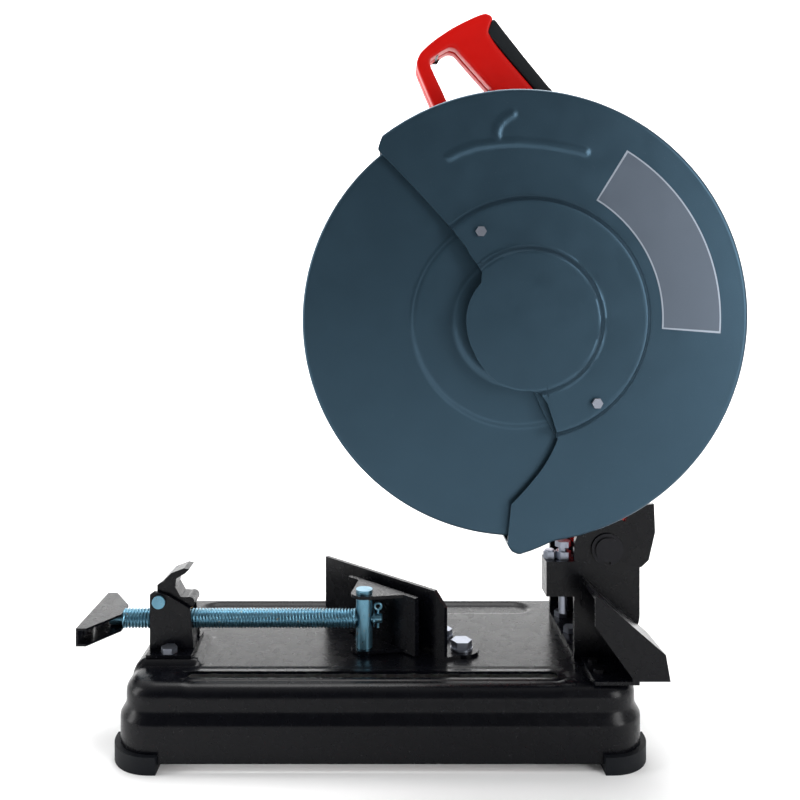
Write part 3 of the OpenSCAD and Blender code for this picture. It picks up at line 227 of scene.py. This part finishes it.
FINISHES = {
    "gloss_black_steel": finish("stove_enamel", (0.0016, 0.0018, 0.003), 0.27, mottle=0.25, grain=0.10,
                                grain_size=0.0022,
                                spec=0.16, worn=(0.008, 0.008, 0.010), worn_share=0.02, worn_size=0.0025),
    "guard_paint": finish("guard_paint", (0.031, 0.061, 0.088), 0.34, metal=0.65, spec=0.2, mottle=0.10,
                          mottle_size=0.06,
                          grain=0.12, grain_size=0.0009, worn=(0.06, 0.09, 0.12), worn_share=0.015,
                          worn_size=0.0012),
    "red_plastic": finish("red_nylon", (0.50, 0.004, 0.002), 0.40, mottle=0.07, grain=0.15,
                          grain_size=0.0007, spec=0.15),
    "red_casting": finish("red_enamel", (0.42, 0.004, 0.003), 0.40, mottle=0.10, grain=0.35,
                          grain_size=0.0016, spec=0.2,
                          worn=(0.12, 0.01, 0.008), worn_share=0.02, worn_size=0.003),
    "grip_rubber": finish("grip_rubber", (0.005, 0.007, 0.009), 0.62, spec=0.2, mottle=0.15, grain=0.5,
                          grain_size=0.0008),
    "foot_rubber": finish("foot_rubber", (0.003, 0.004, 0.006), 0.60, spec=0.15, mottle=0.2, grain=0.4,
                          grain_size=0.0012,
                          worn=(0.008, 0.008, 0.009), worn_share=0.05, worn_size=0.006),
    "zinc_steel": finish("blue_zinc", (0.11, 0.24, 0.32), 0.30, metal=0.9, mottle=0.28, mottle_size=0.008,
                         grain=0.15,
                         grain_size=0.0006, worn=(0.20, 0.22, 0.20), worn_share=0.08, worn_size=0.003),
    "dark_steel": finish("black_oxide", (0.012, 0.012, 0.014), 0.42, metal=0.85, mottle=0.25,
                         mottle_size=0.006, grain=0.2),
    "bearing_steel": finish("ground_steel", (0.56, 0.57, 0.59), 0.26, metal=1.0, mottle=0.06,
                            mottle_size=0.01, grain=0.12,
                            grain_size=0.0004),
    "cast_aluminium": finish("cast_aluminium", (0.42, 0.43, 0.44), 0.52, metal=0.85, mottle=0.12,
                             mottle_size=0.01,
                             grain=0.55, grain_size=0.0011),
    "bronze": finish("bronze", (0.45, 0.27, 0.10), 0.42, metal=0.95, mottle=0.15, mottle_size=0.006,
                     grain=0.2),
    "abrasive": finish("abrasive", (0.040, 0.036, 0.033), 0.88, mottle=0.45, mottle_size=0.0016, grain=1.0,
                       grain_size=0.0010, worn=(0.12, 0.10, 0.08), worn_share=0.10, worn_size=0.0014),
    "black_plastic": finish("black_nylon", (0.006, 0.006, 0.007), 0.50, spec=0.25, mottle=0.12, grain=0.35,
                            grain_size=0.0006),
    "winding": finish("winding", (0.36, 0.14, 0.06), 0.48, metal=0.6, mottle=0.4, mottle_size=0.002,
                      grain=0.7,
                      grain_size=0.0009),
    "gear_steel": finish("gear_steel", (0.25, 0.25, 0.25), 0.36, metal=1.0, mottle=0.15, mottle_size=0.006,
                         grain=0.2),
}
CLEAR_ZINC = finish("clear_zinc", (0.26, 0.28, 0.33), 0.34, metal=0.9, mottle=0.15, mottle_size=0.006,
                    grain=0.15,
                    grain_size=0.0006)
LABEL = finish("label_film", (0.085, 0.105, 0.135), 0.40, metal=0.5, spec=0.25, mottle=0.05, grain=0.05)
LABEL_EDGE = finish("label_edge", (0.30, 0.34, 0.40), 0.34, metal=0.5, spec=0.3, mottle=0.05, grain=0.05)

slot_of = {s["node"]: s["material_slot"] for s in frame["record"]["subparts"]}
for node_name, thing in frame["nodes"].items():
    for k in range(len(thing.data.materials)):
        thing.data.materials[k] = FINISHES[slot_of[node_name]]
for node_name in ("stop_bolts", "base_bolts", "arm_bolts", "cover_bolts", "guard_screws", "fence_bolts"):
    for k in range(len(frame["nodes"][node_name].data.materials)):
        frame["nodes"][node_name].data.materials[k] = CLEAR_ZINC


def cover(name, shell, node, body, sharp=32):
    """A piece that stands for one CAD node and takes its finish from that node's slot."""
    made = piece(name, shell, FINISHES[slot_of[node]], body, [node], sharp)
    return made


# ---------------------------------------------------------------- guards

guard_low, guard_high = box("fixed_guard")
guard_front, guard_back = guard_low[1], guard_high[1]
fixed_c = arbor + np.array([1.3, 3.9]) * MM
fixed_r = guard_high[2] - fixed_c[1]
SHEET = 1.5 * MM


def fillet(radius, corner, at, out, count=6):
    """Quarter turn from a face to a rim: radius of each point, and its depth behind at."""
    a = np.linspace(0, math.pi / 2, count)
    return radius - corner + corner * np.sin(a), at + out * corner * (1 - np.cos(a))


def pan_profile(r_in, r_out, y_front, y_back, corner, step):
    """Half section of a dished pan: face, rounded corner, rim, rounded corner, back. Rows of (r, y)."""
    face = np.arange(r_in, r_out - corner, step)
    r1, y1 = fillet(r_out, corner, y_front, 1)
    rim_y = np.linspace(y_front + corner, y_back - corner, 6)[1:-1]
    r2, y2 = fillet(r_out, corner, y_back, -1)
    back = np.arange(r_out - corner, r_in, -4 * step)[1:]
    r = np.concatenate([face, r1, np.full(len(rim_y), r_out), r2[::-1], back, [r_in]])
    y = np.concatenate([np.full(len(face), y_front), y1, rim_y, y2[::-1], np.full(len(back) + 1, y_back)])
    return r, y


def pan(centre, r_in, r_out, y_front, y_back, corner, start, end, count, lift, step, flare=None):
    """Sheet pan about an axis along Y. start and end give the sector's two angles in degrees at each
    radius; lift(x, z) is how far the face stands forward, flare(degrees, r) how far a point stands out."""
    shells = []
    for inset in (0, SHEET):
        r, y = pan_profile(r_in, r_out, y_front, y_back, corner, step)
        if inset:
            face = y < (y_front + y_back) / 2
            depth = np.clip((y - y_front) / corner, 0, 1)
            deep = np.clip((y_back - y) / corner, 0, 1)
            y = np.where(face, y + inset * (1 - smooth(depth)), y - inset * (1 - smooth(deep)))
            rimward = np.clip((r - (r_out - corner)) / corner, 0, 1)
            r = r - inset * smooth(rimward)
        t = np.linspace(0, 1, count)[:, None]
        a = np.radians(start(r) * (1 - t) + end(r) * t)
        reach = r + flare(np.degrees(a), r) if flare else r
        x = centre[0] + reach * np.cos(a)
        z = centre[1] + reach * np.sin(a)
        on_face = (np.arange(len(r)) < np.argmax(y > y_front + corner))[None, :]
        depth = y[None, :] - np.where(on_face, lift(x, z), 0)
        shells.append(np.stack([x, np.broadcast_to(depth, x.shape), z], -1).reshape(-1, 3))
    return walled(shells[0], shells[1], grid_faces(count, len(r)))


def disc(centre, r_in, r_out, y, thick, count=120):
    """Flat washer of sheet about an axis along Y."""
    a = np.linspace(0, TAU, count, endpoint=False)[:, None]
    r = np.linspace(r_in, r_out, 4)[None, :]
    x = centre[0] + r * np.cos(a)
    z = centre[1] + r * np.sin(a)
    front = np.stack([x, np.full(x.shape, y), z], -1).reshape(-1, 3)
    back = front + np.array([0, thick, 0])
    return walled(front, back, grid_faces(count, 4, wrap=True))


# The two cut edges of the fixed guard: angle about its centre at each radius
LOWER_R = np.array([40, 109, 131.6, 141.6, 159.9, 186, 194.3]) * MM
LOWER_A = np.array([-83.9, -73.1, -82.1, -86.2, -92.9, -93.3, -93.3])
UPPER_R = np.array([33, 73, 100.5, 183.2, 187.5, 197.3]) * MM
UPPER_A = np.array([129.2, 128.5, 128.7, 130.7, 130.6, 125.8])


EYE = (-0.02648, -0.8355, 0.4000)
FACE_SCALE = 1174.45


def face_point(u, v):
    """Place on the guard's front plane of a point measured off the front view."""
    return ((u - 375) / FACE_SCALE + EYE[0], EYE[2] - (v - 300) / FACE_SCALE)


ARROW = [face_point(*p) for p in [
    (449, 157), (458, 152), (475, 146), (497, 143), (520, 142), (545, 144), (568, 148), (585, 152),
]]
BARB = [face_point(*p) for p in [(512, 114), (504, 119), (498, 126), (496, 134), (498, 142)]]


def guard_emboss(x, z):
    """Height of the pressed direction arrow: a ridge of half width 4 mm round each line."""
    near = np.minimum(to_polyline(x, z, ARROW), to_polyline(x, z, BARB))
    return 1.1 * MM * smooth(1 - (near - 1.5 * MM) / (3.0 * MM))


def lower_lip(angle, r):
    """The rim's outward flare beside the lower cut edge."""
    out = np.interp(angle, [-93.3, -92.3, -90.3, -86, -81.7], [0.5, 7, 9.7, 5, 0]) * MM
    return out * smooth((r - 150 * MM) / (44 * MM))


fixed = pan(
    fixed_c, 44 * MM, fixed_r, guard_front, guard_back, 3.5 * MM,
    lambda r: np.interp(r, LOWER_R, LOWER_A), lambda r: np.interp(r, UPPER_R, UPPER_A), 330, guard_emboss,
    1.7 * MM,
    lower_lip,
)
cover("guard_shell", joined(fixed, disc(arbor, 36.3 * MM, 52 * MM, guard_back - SHEET, SHEET)),
      "fixed_guard", "head")

# Moving guard
move_low, move_high = box("moving_guard")
move_r = move_high[2] - arbor[1]
move_r = max(move_r, arbor[0] - move_low[0])
move_front = move_low[1] + 4.2 * MM


def hub_steps(x, z):
    """Two raised rounds at the hub of the moving guard."""
    d = np.hypot(x - arbor[0], z - arbor[1])
    return 2.2 * MM * smooth((93 * MM - d) / (4.5 * MM)) + 2.0 * MM * smooth((57 * MM - d) / (4.5 * MM))


def level(angle):
    return lambda r: np.full(np.shape(r), float(angle))


moving = pan(arbor, 36.4 * MM, move_r, move_front, move_high[1], 3 * MM, level(118), level(289), 242,
             hub_steps, 1.7 * MM)


def hub_plate(centre, r_in, r_out, y, lift, start, end, count, step):
    """Face only, as a sheet, between two radii and two angles."""
    r = np.arange(r_in, r_out + step / 2, step)[None, :]
    a = np.radians(np.linspace(start, end, count))[:, None]
    x = centre[0] + r * np.cos(a)
    z = centre[1] + r * np.sin(a)
    front = np.stack([x, y - lift(x, z), z], -1).reshape(-1, 3)
    return walled(front, front + np.array([0, SHEET, 0]), grid_faces(count, r.shape[1]))


hub = hub_plate(arbor, 36.4 * MM, 93 * MM, move_front, hub_steps, -71, 118, 168, 1.7 * MM)
cover("moving_guard_shell", joined(moving, hub), "moving_guard", "moving_guard")

# Hub cover
cover_low, cover_high = box("hub_cover")
cover_c = arbor + np.array([7.9, 2.6]) * MM
dome_c = arbor + np.array([6.8, 0.1]) * MM
COVER_R = 104.7 * MM
DOME_R = 64.7 * MM
cover_back = cover_high[1]
dome_face = cover_low[1]
cover_face = dome_face + 7 * MM
EDGE = np.array([
    (131.0, 104.7), (132.4, 79.0), (133.6, 74.9), (135.0, 62.4), (137.7, 56.0), (145.2, 51.4),
    (161.7, 53.3), (176.6, 54.5),
    (191.5, 55.1), (211.2, 56.2), (230.7, 58.8), (248.2, 61.6), (261.1, 61.3), (269.0, 60.6), (278.0, 64.5),
    (281.5, 74.0),
    (282.6, 89.6), (283.0, 104.7),
])


def cover_height(x, z):
    """How far the cover stands forward of its own rim: a raised disc with a dome on it."""
    ring = np.hypot(x - cover_c[0], z - cover_c[1])
    dome = np.hypot(x - dome_c[0], z - dome_c[1])
    rise = (cover_back - cover_face) * smooth((COVER_R - ring) / (6.5 * MM))
    return rise + (cover_face - dome_face) * smooth((DOME_R - dome) / (7 * MM))


edge_a = np.unique(np.concatenate([
    np.linspace(283, 491, 260), np.linspace(131, 138, 60), np.linspace(138, 276, 120),
    np.linspace(276, 283, 50),
]))
order = np.argsort(EDGE[:, 0])
edge_r = np.where(edge_a > 283, COVER_R, np.interp(edge_a, EDGE[order, 0], EDGE[order, 1]) * MM)
share = np.linspace(0.0, 1, 72)[None, :]
cr = edge_r[:, None] * share
ca = np.radians(edge_a)[:, None]
cx = cover_c[0] + cr * np.cos(ca)
cz = cover_c[1] + cr * np.sin(ca)
front = np.stack([cx, cover_back - cover_height(cx, cz), cz], -1)[:-1]
back = front.copy()
back[..., 1] = np.minimum(front[..., 1] + SHEET, cover_back)
cover_shell = walled(front.reshape(-1, 3), back.reshape(-1, 3), grid_faces(len(front), 72, wrap=True))
cover("hub_cover_shell", cover_shell, "hub_cover", "hub_cover")

# Blank name plate
plate_c = face_point(524, 318)


def plate(name, r_in, r_out, a0, a1, lift, finish_of):
    """Thin sector plate on the guard's face."""
    r = np.linspace(r_in, r_out, 14)[None, :]
    a = np.radians(np.linspace(a0, a1, 60))[:, None]
    x = plate_c[0] + r * np.cos(a)
    z = plate_c[1] + r * np.sin(a)
    front = np.stack([x, np.full(x.shape, guard_front - lift), z], -1).reshape(-1, 3)
    return piece(name, walled(front, front + np.array([0, 0.35 * MM, 0]), grid_faces(60, 14)), finish_of,
                 "head")


plate("plate_edge", 117.5 * MM, 167.5 * MM, -4.5, 58.5, 0.2 * MM, LABEL_EDGE)
plate("plate_face", 118.8 * MM, 166.2 * MM, -3.9, 57.9, 0.26 * MM, LABEL)

# ---------------------------------------------------------------- tray

tray_low, tray_high = box("base_tray")
BASE_TOP = box("hinge_bracket")[0][2]
tray_mid = (tray_low[:2] + tray_high[:2]) / 2
HALF_L, HALF_W = (tray_high[:2] - tray_low[:2]) / 2 - 5 * MM
SHOULDER = 12 * MM
CORNER = 28 * MM
wheel_y = box("abrasive_wheel")[0][1] + 1.5 * MM
SLOT = (-170.5 * MM + tray_mid[0], 156.5 * MM + tray_mid[0], wheel_y - 6.5 * MM, wheel_y + 6.5 * MM)
vise_y = joint["jaw_swivel"]["pos_m"][1]
PAD = (tray_mid[0] - 212.5 * MM, tray_mid[0] - 166.5 * MM, vise_y - 29 * MM, vise_y + 29 * MM)
TROUGH = (tray_mid[0] - 14 * MM, tray_mid[1] + 78.5 * MM, 174.5 * MM, 16.5 * MM)


def tray_relief(x, y):
    """Height pressed into the tray's top: rear trough, bead round the wheel slot and the vise's pad."""
    dx = np.maximum(np.abs(x - TROUGH[0]) - (TROUGH[2] - TROUGH[3]), 0)
    trough = np.hypot(dx, y - TROUGH[1])
    low = -3 * MM * smooth((TROUGH[3] - trough) / (5 * MM))
    sx = np.maximum(np.abs(x - (SLOT[0] + SLOT[1]) / 2) - (SLOT[1] - SLOT[0]) / 2 + 6.5 * MM, 0)
    slot = np.hypot(sx, y - wheel_y)
    bead = -0.9 * MM * smooth(1 - np.abs(slot - 12 * MM) / (2.5 * MM))
    px = np.maximum(np.maximum(PAD[0] - x, x - PAD[1]), 0)
    py = np.maximum(np.maximum(PAD[2] - y, y - PAD[3]), 0)
    pad = 5 * MM * smooth(1 - np.hypot(px, py) / (4 * MM))
    return low + bead + pad


def tray_shell():
    """Pressed tray: a grid over the top whose rim is bent to a rounded rectangle, then a profile
    carried round it."""
    inner_l, inner_w, inner_r = HALF_L - SHOULDER, HALF_W - SHOULDER, CORNER - SHOULDER
    xs = np.unique(np.concatenate([np.linspace(-inner_l, inner_l, 130), np.array(SLOT[:2]) - tray_mid[0]]))
    ys = np.unique(np.concatenate([
        np.linspace(-inner_w, SLOT[2] - tray_mid[1] - 1 * MM, 6),
        np.linspace(SLOT[2], SLOT[3], 9) - tray_mid[1],
        np.linspace(SLOT[3] - tray_mid[1] + 1 * MM, inner_w, 70),
    ]))
    gx, gy = np.meshgrid(xs, ys, indexing="ij")
    inside_slot = (gy >= SLOT[2] - tray_mid[1] - 1e-9) & (gy <= SLOT[3] - tray_mid[1] + 1e-9)
    off = np.abs(gy - (wheel_y - tray_mid[1]))
    sag = np.where(inside_slot, 6.5 * MM - np.sqrt(np.maximum((6.5 * MM) ** 2 - off ** 2, 0)), 0)
    for end, way in ((SLOT[0] - tray_mid[0], 1), (SLOT[1] - tray_mid[0], -1)):
        gx = gx + way * sag * np.exp(-(((gx - end) / (14 * MM)) ** 2))
    cx = np.abs(gx) - (inner_l - inner_r)
    cy = np.abs(gy) - (inner_w - inner_r)
    corner = (cx > 0) & (cy > 0)
    reach = np.hypot(cx, cy)
    scale = np.where(corner, np.maximum(cx, cy) / np.maximum(reach, 1e-9), 1)
    gx = np.where(corner, np.sign(gx) * (inner_l - inner_r + cx * scale), gx)
    gy = np.where(corner, np.sign(gy) * (inner_w - inner_r + cy * scale), gy)
    n, m = gx.shape
    ring = np.concatenate([
        np.arange(n) * m, (n - 1) * m + np.arange(1, m), np.arange(n - 2, -1, -1) * m + m - 1,
        np.arange(m - 2, 0, -1),
    ])
    fx, fy = gx.reshape(-1), gy.reshape(-1)
    rx, ry = fx[ring], fy[ring]
    nx = np.where(np.abs(rx) > inner_l - inner_r, rx - np.sign(rx) * (inner_l - inner_r), 0)
    ny = np.where(np.abs(ry) > inner_w - inner_r, ry - np.sign(ry) * (inner_w - inner_r), 0)
    size = np.maximum(np.hypot(nx, ny), 1e-9)
    nx, ny = nx / size, ny / size
    turn = np.linspace(0, math.pi / 2, 9)[1:]
    out = np.concatenate([SHOULDER * np.sin(turn), SHOULDER + np.array([0, 0, 0.4, 1.6, 3.6, 4.7, 5, 5,
        5]) * MM])
    down = np.concatenate([SHOULDER * (1 - np.cos(turn)), np.array([14, 20, 22.5, 25, 28.5, 30.5, 33, 48,
        63]) * MM])
    fade = np.clip(1 - down / (26 * MM), 0, 1)
    sheets = []
    for inset in (0, 2.2 * MM):
        top_z = BASE_TOP + tray_relief(fx + tray_mid[0], fy + tray_mid[1]) - inset
        top = np.stack([fx + tray_mid[0], fy + tray_mid[1], top_z], -1)
        lift = tray_relief(rx + tray_mid[0], ry + tray_mid[1])
        side_way = smooth((down - 1 * MM) / (8 * MM))
        o = out - inset * side_way
        d = down + inset * (1 - side_way)
        lx = rx[:, None] + nx[:, None] * o[None, :] + tray_mid[0]
        ly = ry[:, None] + ny[:, None] * o[None, :] + tray_mid[1]
        lz = BASE_TOP - d[None, :] + lift[:, None] * fade[None, :]
        loops = np.stack([lx, ly, np.broadcast_to(lz, lx.shape)], -1)
        sheets.append(np.concatenate([top, loops.reshape(-1, 3)]))
    cells = grid_faces(n, m)
    centre = (fx[cells].mean(1), fy[cells].mean(1))
    in_slot = (
        (centre[1] > SLOT[2] - tray_mid[1]) & (centre[1] < SLOT[3] - tray_mid[1])
        & (fx[cells].min(1) > SLOT[0] - tray_mid[0] - 1e-6)
        & (fx[cells].max(1) < SLOT[1] - tray_mid[0] + 1e-6)
    )
    cells = cells[~in_slot]
    k = len(out)
    start = n * m
    loop_index = np.concatenate([ring[:, None], start + np.arange(len(ring) * k).reshape(len(ring), k)], 1)
    ahead = np.roll(loop_index, -1, 0)
    band = np.stack([loop_index[:, :-1], ahead[:, :-1], ahead[:, 1:], loop_index[:, 1:]], -1).reshape(-1, 4)
    faces = np.concatenate([cells, band[:, ::-1]])
    return walled(sheets[0], sheets[1], faces)


cover("tray_shell", tray_shell(), "base_tray", "base", 40)

# ---------------------------------------------------------------- handle

hand_low = box("handle_front")[0]
back_high = box("handle_back")[1]
hand_y = (hand_low[1], back_high[1])
hand_o = np.array([motor[0], motor[1] + 66 * MM])
OUTER = np.array([
    (-76, 119), (-76.5, 126), (-73, 134), (-61, 145), (-43, 157), (-24, 166.5), (-13, 170.7), (-7.5, 168.5),
    (-5.5, 165),
    (-12, 151), (29, 103), (60, 67), (56, 50), (38, 22), (36, 0), (7, 0), (-22, 0), (-26, 22), (-44, 47),
    (-61.5, 85),
])
INNER = np.array([
    (-62, 118), (-64, 123.5), (-63.6, 128), (-56, 133), (-47, 138.3), (-43.5, 138.3), (-41, 137.4),
    (-39.5, 136.5),
    (-37, 133.5), (-27, 122), (4, 87.5), (28, 60), (27, 50), (20, 42), (15, 40), (-2, 40), (-20, 40),
    (-24, 42.5),
    (-36, 58), (-49, 90.5),
])


def dense(points, count):
    """Closed line through the points, with each side cut into count parts and its corners slightly
    rounded."""
    p = np.asarray(points, float)
    t = np.linspace(0, 1, count, endpoint=False)[None, :, None]
    fine = (p[:, None] * (1 - t) + np.roll(p, -1, 0)[:, None] * t).reshape(-1, 2)
    for _ in range(count):
        fine = 0.5 * fine + 0.25 * (np.roll(fine, 1, 0) + np.roll(fine, -1, 0))
    return fine


def handle_half(y0, y1, name, node):
    """Loop of the handle: a rounded section carried round between its outer and inner lines."""
    outer = dense(OUTER, 8) * MM + hand_o
    inner = dense(INNER, 8) * MM + hand_o
    mid = (outer + inner) / 2
    across = (outer - inner) / 2
    width = np.hypot(*across.T)
    unit = across / width[:, None]
    depth = y1 - y0
    a = np.linspace(0, TAU, 40, endpoint=False)
    power = 0.28
    cu = np.sign(np.cos(a)) * np.abs(np.cos(a)) ** power
    sw = np.sign(np.sin(a)) * np.abs(np.sin(a)) ** power
    u = mid[:, None, :] + unit[:, None, :] * (width[:, None, None] * cu[None, :, None])
    y = (y0 + y1) / 2 + depth / 2 * sw
    points = np.stack([u[..., 0], np.broadcast_to(y, u.shape[:2]), u[..., 1]], -1)
    n, m = points.shape[:2]
    index = np.arange(n * m).reshape(n, m)
    ahead = np.roll(index, -1, 0)
    side = np.roll(index, -1, 1)
    faces = np.stack([index, ahead, np.roll(ahead, -1, 1), side], -1).reshape(-1, 4)
    cover(name, (points.reshape(-1, 3), faces), node, "head", 50)


seam = (hand_y[0] + hand_y[1]) / 2
handle_half(hand_y[0], seam, "handle_shell_front", "handle_front")
handle_half(seam, hand_y[1], "handle_shell_back", "handle_back")

PAD_IN = np.array([(-6.5, 164.5), (-12.5, 152), (8, 127.5), (29, 103), (45, 85), (60, 67)])
PAD_OUT = np.array([(-4, 164.5), (4, 155), (24, 129.5), (46.1, 102.5), (60, 88), (70, 73.5)])


def grip():
    """Soft pad along the outer side of the grip."""
    t = np.linspace(0, 5, 60)
    k = np.arange(6)
    inner = np.stack([np.interp(t, k, PAD_IN[:, c]) for c in (0, 1)], -1) * MM + hand_o
    outer = np.stack([np.interp(t, k, PAD_OUT[:, c]) for c in (0, 1)], -1) * MM + hand_o
    mid, across = (outer + inner) / 2, (outer - inner) / 2
    end = np.clip(np.minimum(t, 5 - t) / 0.25, 0, 1) ** 0.5
    a = np.linspace(0, TAU, 36, endpoint=False)
    cu = np.sign(np.cos(a)) * np.abs(np.cos(a)) ** 0.35
    sw = np.sign(np.sin(a)) * np.abs(np.sin(a)) ** 0.35
    size = (0.82 + 0.18 * end)[:, None]
    xz = mid[:, None, :] + across[:, None, :] * (size * cu[None, :])[..., None]
    y = (hand_y[0] + hand_y[1]) / 2 + (hand_y[1] - hand_y[0]) / 2 * size * sw[None, :]
    rings = np.stack([xz[..., 0], y, xz[..., 1]], -1)
    return capped(rings)


cover("grip_shell", grip(), "grip_pad", "head", 60)

# ---------------------------------------------------------------- vise screw

screw_low, screw_high = box("vise_screw")
screw_z = joint["vise_turn"]["pos_m"][2]
handle_x = screw_low[0]
pin_x = joint["jaw_swivel"]["pos_m"][0]
THREAD = 3 * MM


def screw_shell():
    """Threaded bar: radius falls by a rounded saw of one thread pitch along a helix, with plain
    necks at both ends."""
    x0, x1 = handle_x + 13 * MM, pin_x - 8.2 * MM
    along = np.linspace(x0, x1, int((x1 - x0) / THREAD * 7))[:, None]
    a = np.linspace(0, TAU, 28, endpoint=False)[None, :]
    phase = (along - x0) / THREAD + a / TAU
    wave = np.abs((phase % 1) * 2 - 1)
    run = smooth((along - x0) / (3 * MM)) * smooth((x1 - along) / (3 * MM))
    r = 9 * MM - 1.15 * MM * smooth(wave * 1.4 - 0.2) * run
    neck_x = np.array([handle_x, handle_x, x0 - 0.01 * MM])
    neck_r = np.array([4.8, 6, 6]) * MM
    tail_x = np.array([x1 + 0.01 * MM, screw_high[0] - 0.8 * MM, screw_high[0]])
    tail_r = np.array([4.5, 4.5, 3.7]) * MM
    xs = np.concatenate([np.repeat(neck_x[:, None], 28, 1), np.repeat(along, 28, 1),
                         np.repeat(tail_x[:, None], 28, 1)])
    rs = np.concatenate([np.repeat(neck_r[:, None], 28, 1), r, np.repeat(tail_r[:, None], 28, 1)])
    aa = np.broadcast_to(a, xs.shape)
    return capped(np.stack([xs, vise_y + rs * np.cos(aa), screw_z + rs * np.sin(aa)], -1))


cover("screw_shell", screw_shell(), "vise_screw", "vise_screw", 30)

# ---------------------------------------------------------------- springs


def coil_shell(axis, y0, y1, radius, wire, turns, start, legs, around=12, per_turn=40):
    """Round wire along a helix about Y, with a straight leg at each end."""
    t = np.linspace(0, turns, int(turns * per_turn))
    a = np.radians(start) + TAU * t
    line = np.stack([axis[0] + radius * np.cos(a), y0 + (y1 - y0) * t / turns,
                     axis[1] + radius * np.sin(a)], -1)
    lead = np.array([np.sin(a[0]), 0, -np.cos(a[0])])
    trail = np.array([-np.sin(a[-1]), 0, np.cos(a[-1])])
    reach = np.linspace(0, 1, 8)[1:, None]
    line = np.concatenate([line[0] + lead * legs[0] * reach[::-1], line,
                           line[-1] + trail * legs[1] * reach])
    ahead = np.gradient(line, axis=0)
    ahead /= np.linalg.norm(ahead, axis=1)[:, None]
    side = np.cross(ahead, [0, 1, 0])
    side /= np.linalg.norm(side, axis=1)[:, None]
    up = np.cross(side, ahead)
    b = np.linspace(0, TAU, around, endpoint=False)
    rings = line[:, None] + wire * (side[:, None] * np.cos(b)[None, :, None] + up[:, None] * np.sin(b)[None,
        :, None])
    return capped(rings)


spring_low, spring_high = box("return_spring")
spring = coil_shell(pivot, spring_low[1] + 1.9 * MM, spring_high[1] - 1.9 * MM, 15.5 * MM, 1.9 * MM, 7.1,
                    -60, (34 * MM, 30 * MM))
cover("return_spring_coil", spring, "return_spring", "base", 60)

# ---------------------------------------------------------------- floor, light, camera



def backdrop():
    """Floor that turns up into a wall: a quarter round and a straight line carried round an
    upright axis."""
    flat = np.linspace(0.01, 3.0, 12)
    turn = np.linspace(0, math.pi / 2, 24)[1:]
    r = np.concatenate([flat, 3.0 + 1.6 * np.sin(turn), [4.6]])
    rise = np.concatenate([np.zeros(len(flat)), 1.6 * (1 - np.cos(turn)), [2.6]])
    a = np.linspace(0, TAU, 96, endpoint=False)[:, None]
    z = rise * smooth(0.5 + 1.5 * np.sin(a))
    rings = np.stack([r * np.cos(a), r * np.sin(a), z], -1)
    points = np.concatenate([rings.reshape(-1, 3), [[0, 0, 0]]])
    hub = np.arange(96) * len(r)
    middle = [(int(hub[k]), int(hub[(k + 1) % 96]), len(points) - 1) for k in range(96)]
    return points, grid_faces(96, len(r), wrap=True), middle


floor_points, floor_quads, floor_middle = backdrop()
floor_mesh = bpy.data.meshes.new("floor")
floor_mesh.from_pydata(floor_points.tolist(), [], floor_quads.tolist() + floor_middle)
floor_mesh.shade_smooth()
floor = bpy.data.objects.new("floor", floor_mesh)
bpy.context.scene.collection.objects.link(floor)
floor_mesh.materials.append(finish("pale_floor", (0.90, 0.90, 0.90), 0.85, mottle=0.01, spec=0.1))

world = bpy.data.worlds.new("studio")
bpy.context.scene.world = world
world.use_nodes = True
sky = world.node_tree
way = sky.nodes.new("ShaderNodeTexCoord")
split = sky.nodes.new("ShaderNodeSeparateXYZ")
sky.links.new(way.outputs["Generated"], split.inputs["Vector"])
shade = sky.nodes.new("ShaderNodeMapRange")
shade.inputs["From Min"].default_value = -0.75
shade.inputs["From Max"].default_value = 0.25
shade.inputs["To Min"].default_value = 0.12
shade.inputs["To Max"].default_value = 1.5
sky.links.new(split.outputs["Y"], shade.inputs["Value"])
sky.links.new(shade.outputs["Result"], sky.nodes["Background"].inputs["Strength"])
sky.nodes["Background"].inputs["Color"].default_value = (1, 1, 1, 1)


def softbox(name, at, aim, width, height, power):
    """Rectangular area light at a place, turned to face a point."""
    lamp = bpy.data.lights.new(name, "AREA")
    lamp.shape = "RECTANGLE"
    lamp.size = width
    lamp.size_y = height
    lamp.energy = power
    thing = bpy.data.objects.new(name, lamp)
    bpy.context.scene.collection.objects.link(thing)
    thing.location = at
    way = np.array(aim) - np.array(at)
    thing.rotation_mode = "QUATERNION"
    thing.rotation_quaternion = Vector(way).to_track_quat("-Z", "Y")


softbox("right_side", (1.7, -1.8, 0.8), (0.15, 0, 0.4), 0.9, 1.5, 36)
softbox("left_side", (-1.9, -0.45, 0.7), (0, 0, 0.35), 0.6, 1.6, 20)
softbox("top", (0.1, 0.5, 1.9), (0.1, 0, 0.3), 1.4, 0.8, 24)
softbox("wall", (0, 1.6, 2.6), (0, 4.4, 1.1), 3.6, 1.0, 260)

lens = bpy.data.cameras.new("camera")
lens.lens = 38.48
lens.sensor_width = 36
lens.shift_x = 0.031
lens.shift_y = -0.125
camera = bpy.data.objects.new("camera", lens)
bpy.context.scene.collection.objects.link(camera)
camera.location = EYE
camera.rotation_euler = (math.pi / 2, 0, 0)
bpy.context.scene.camera = camera
bpy.context.scene.view_settings.view_transform = "Standard"
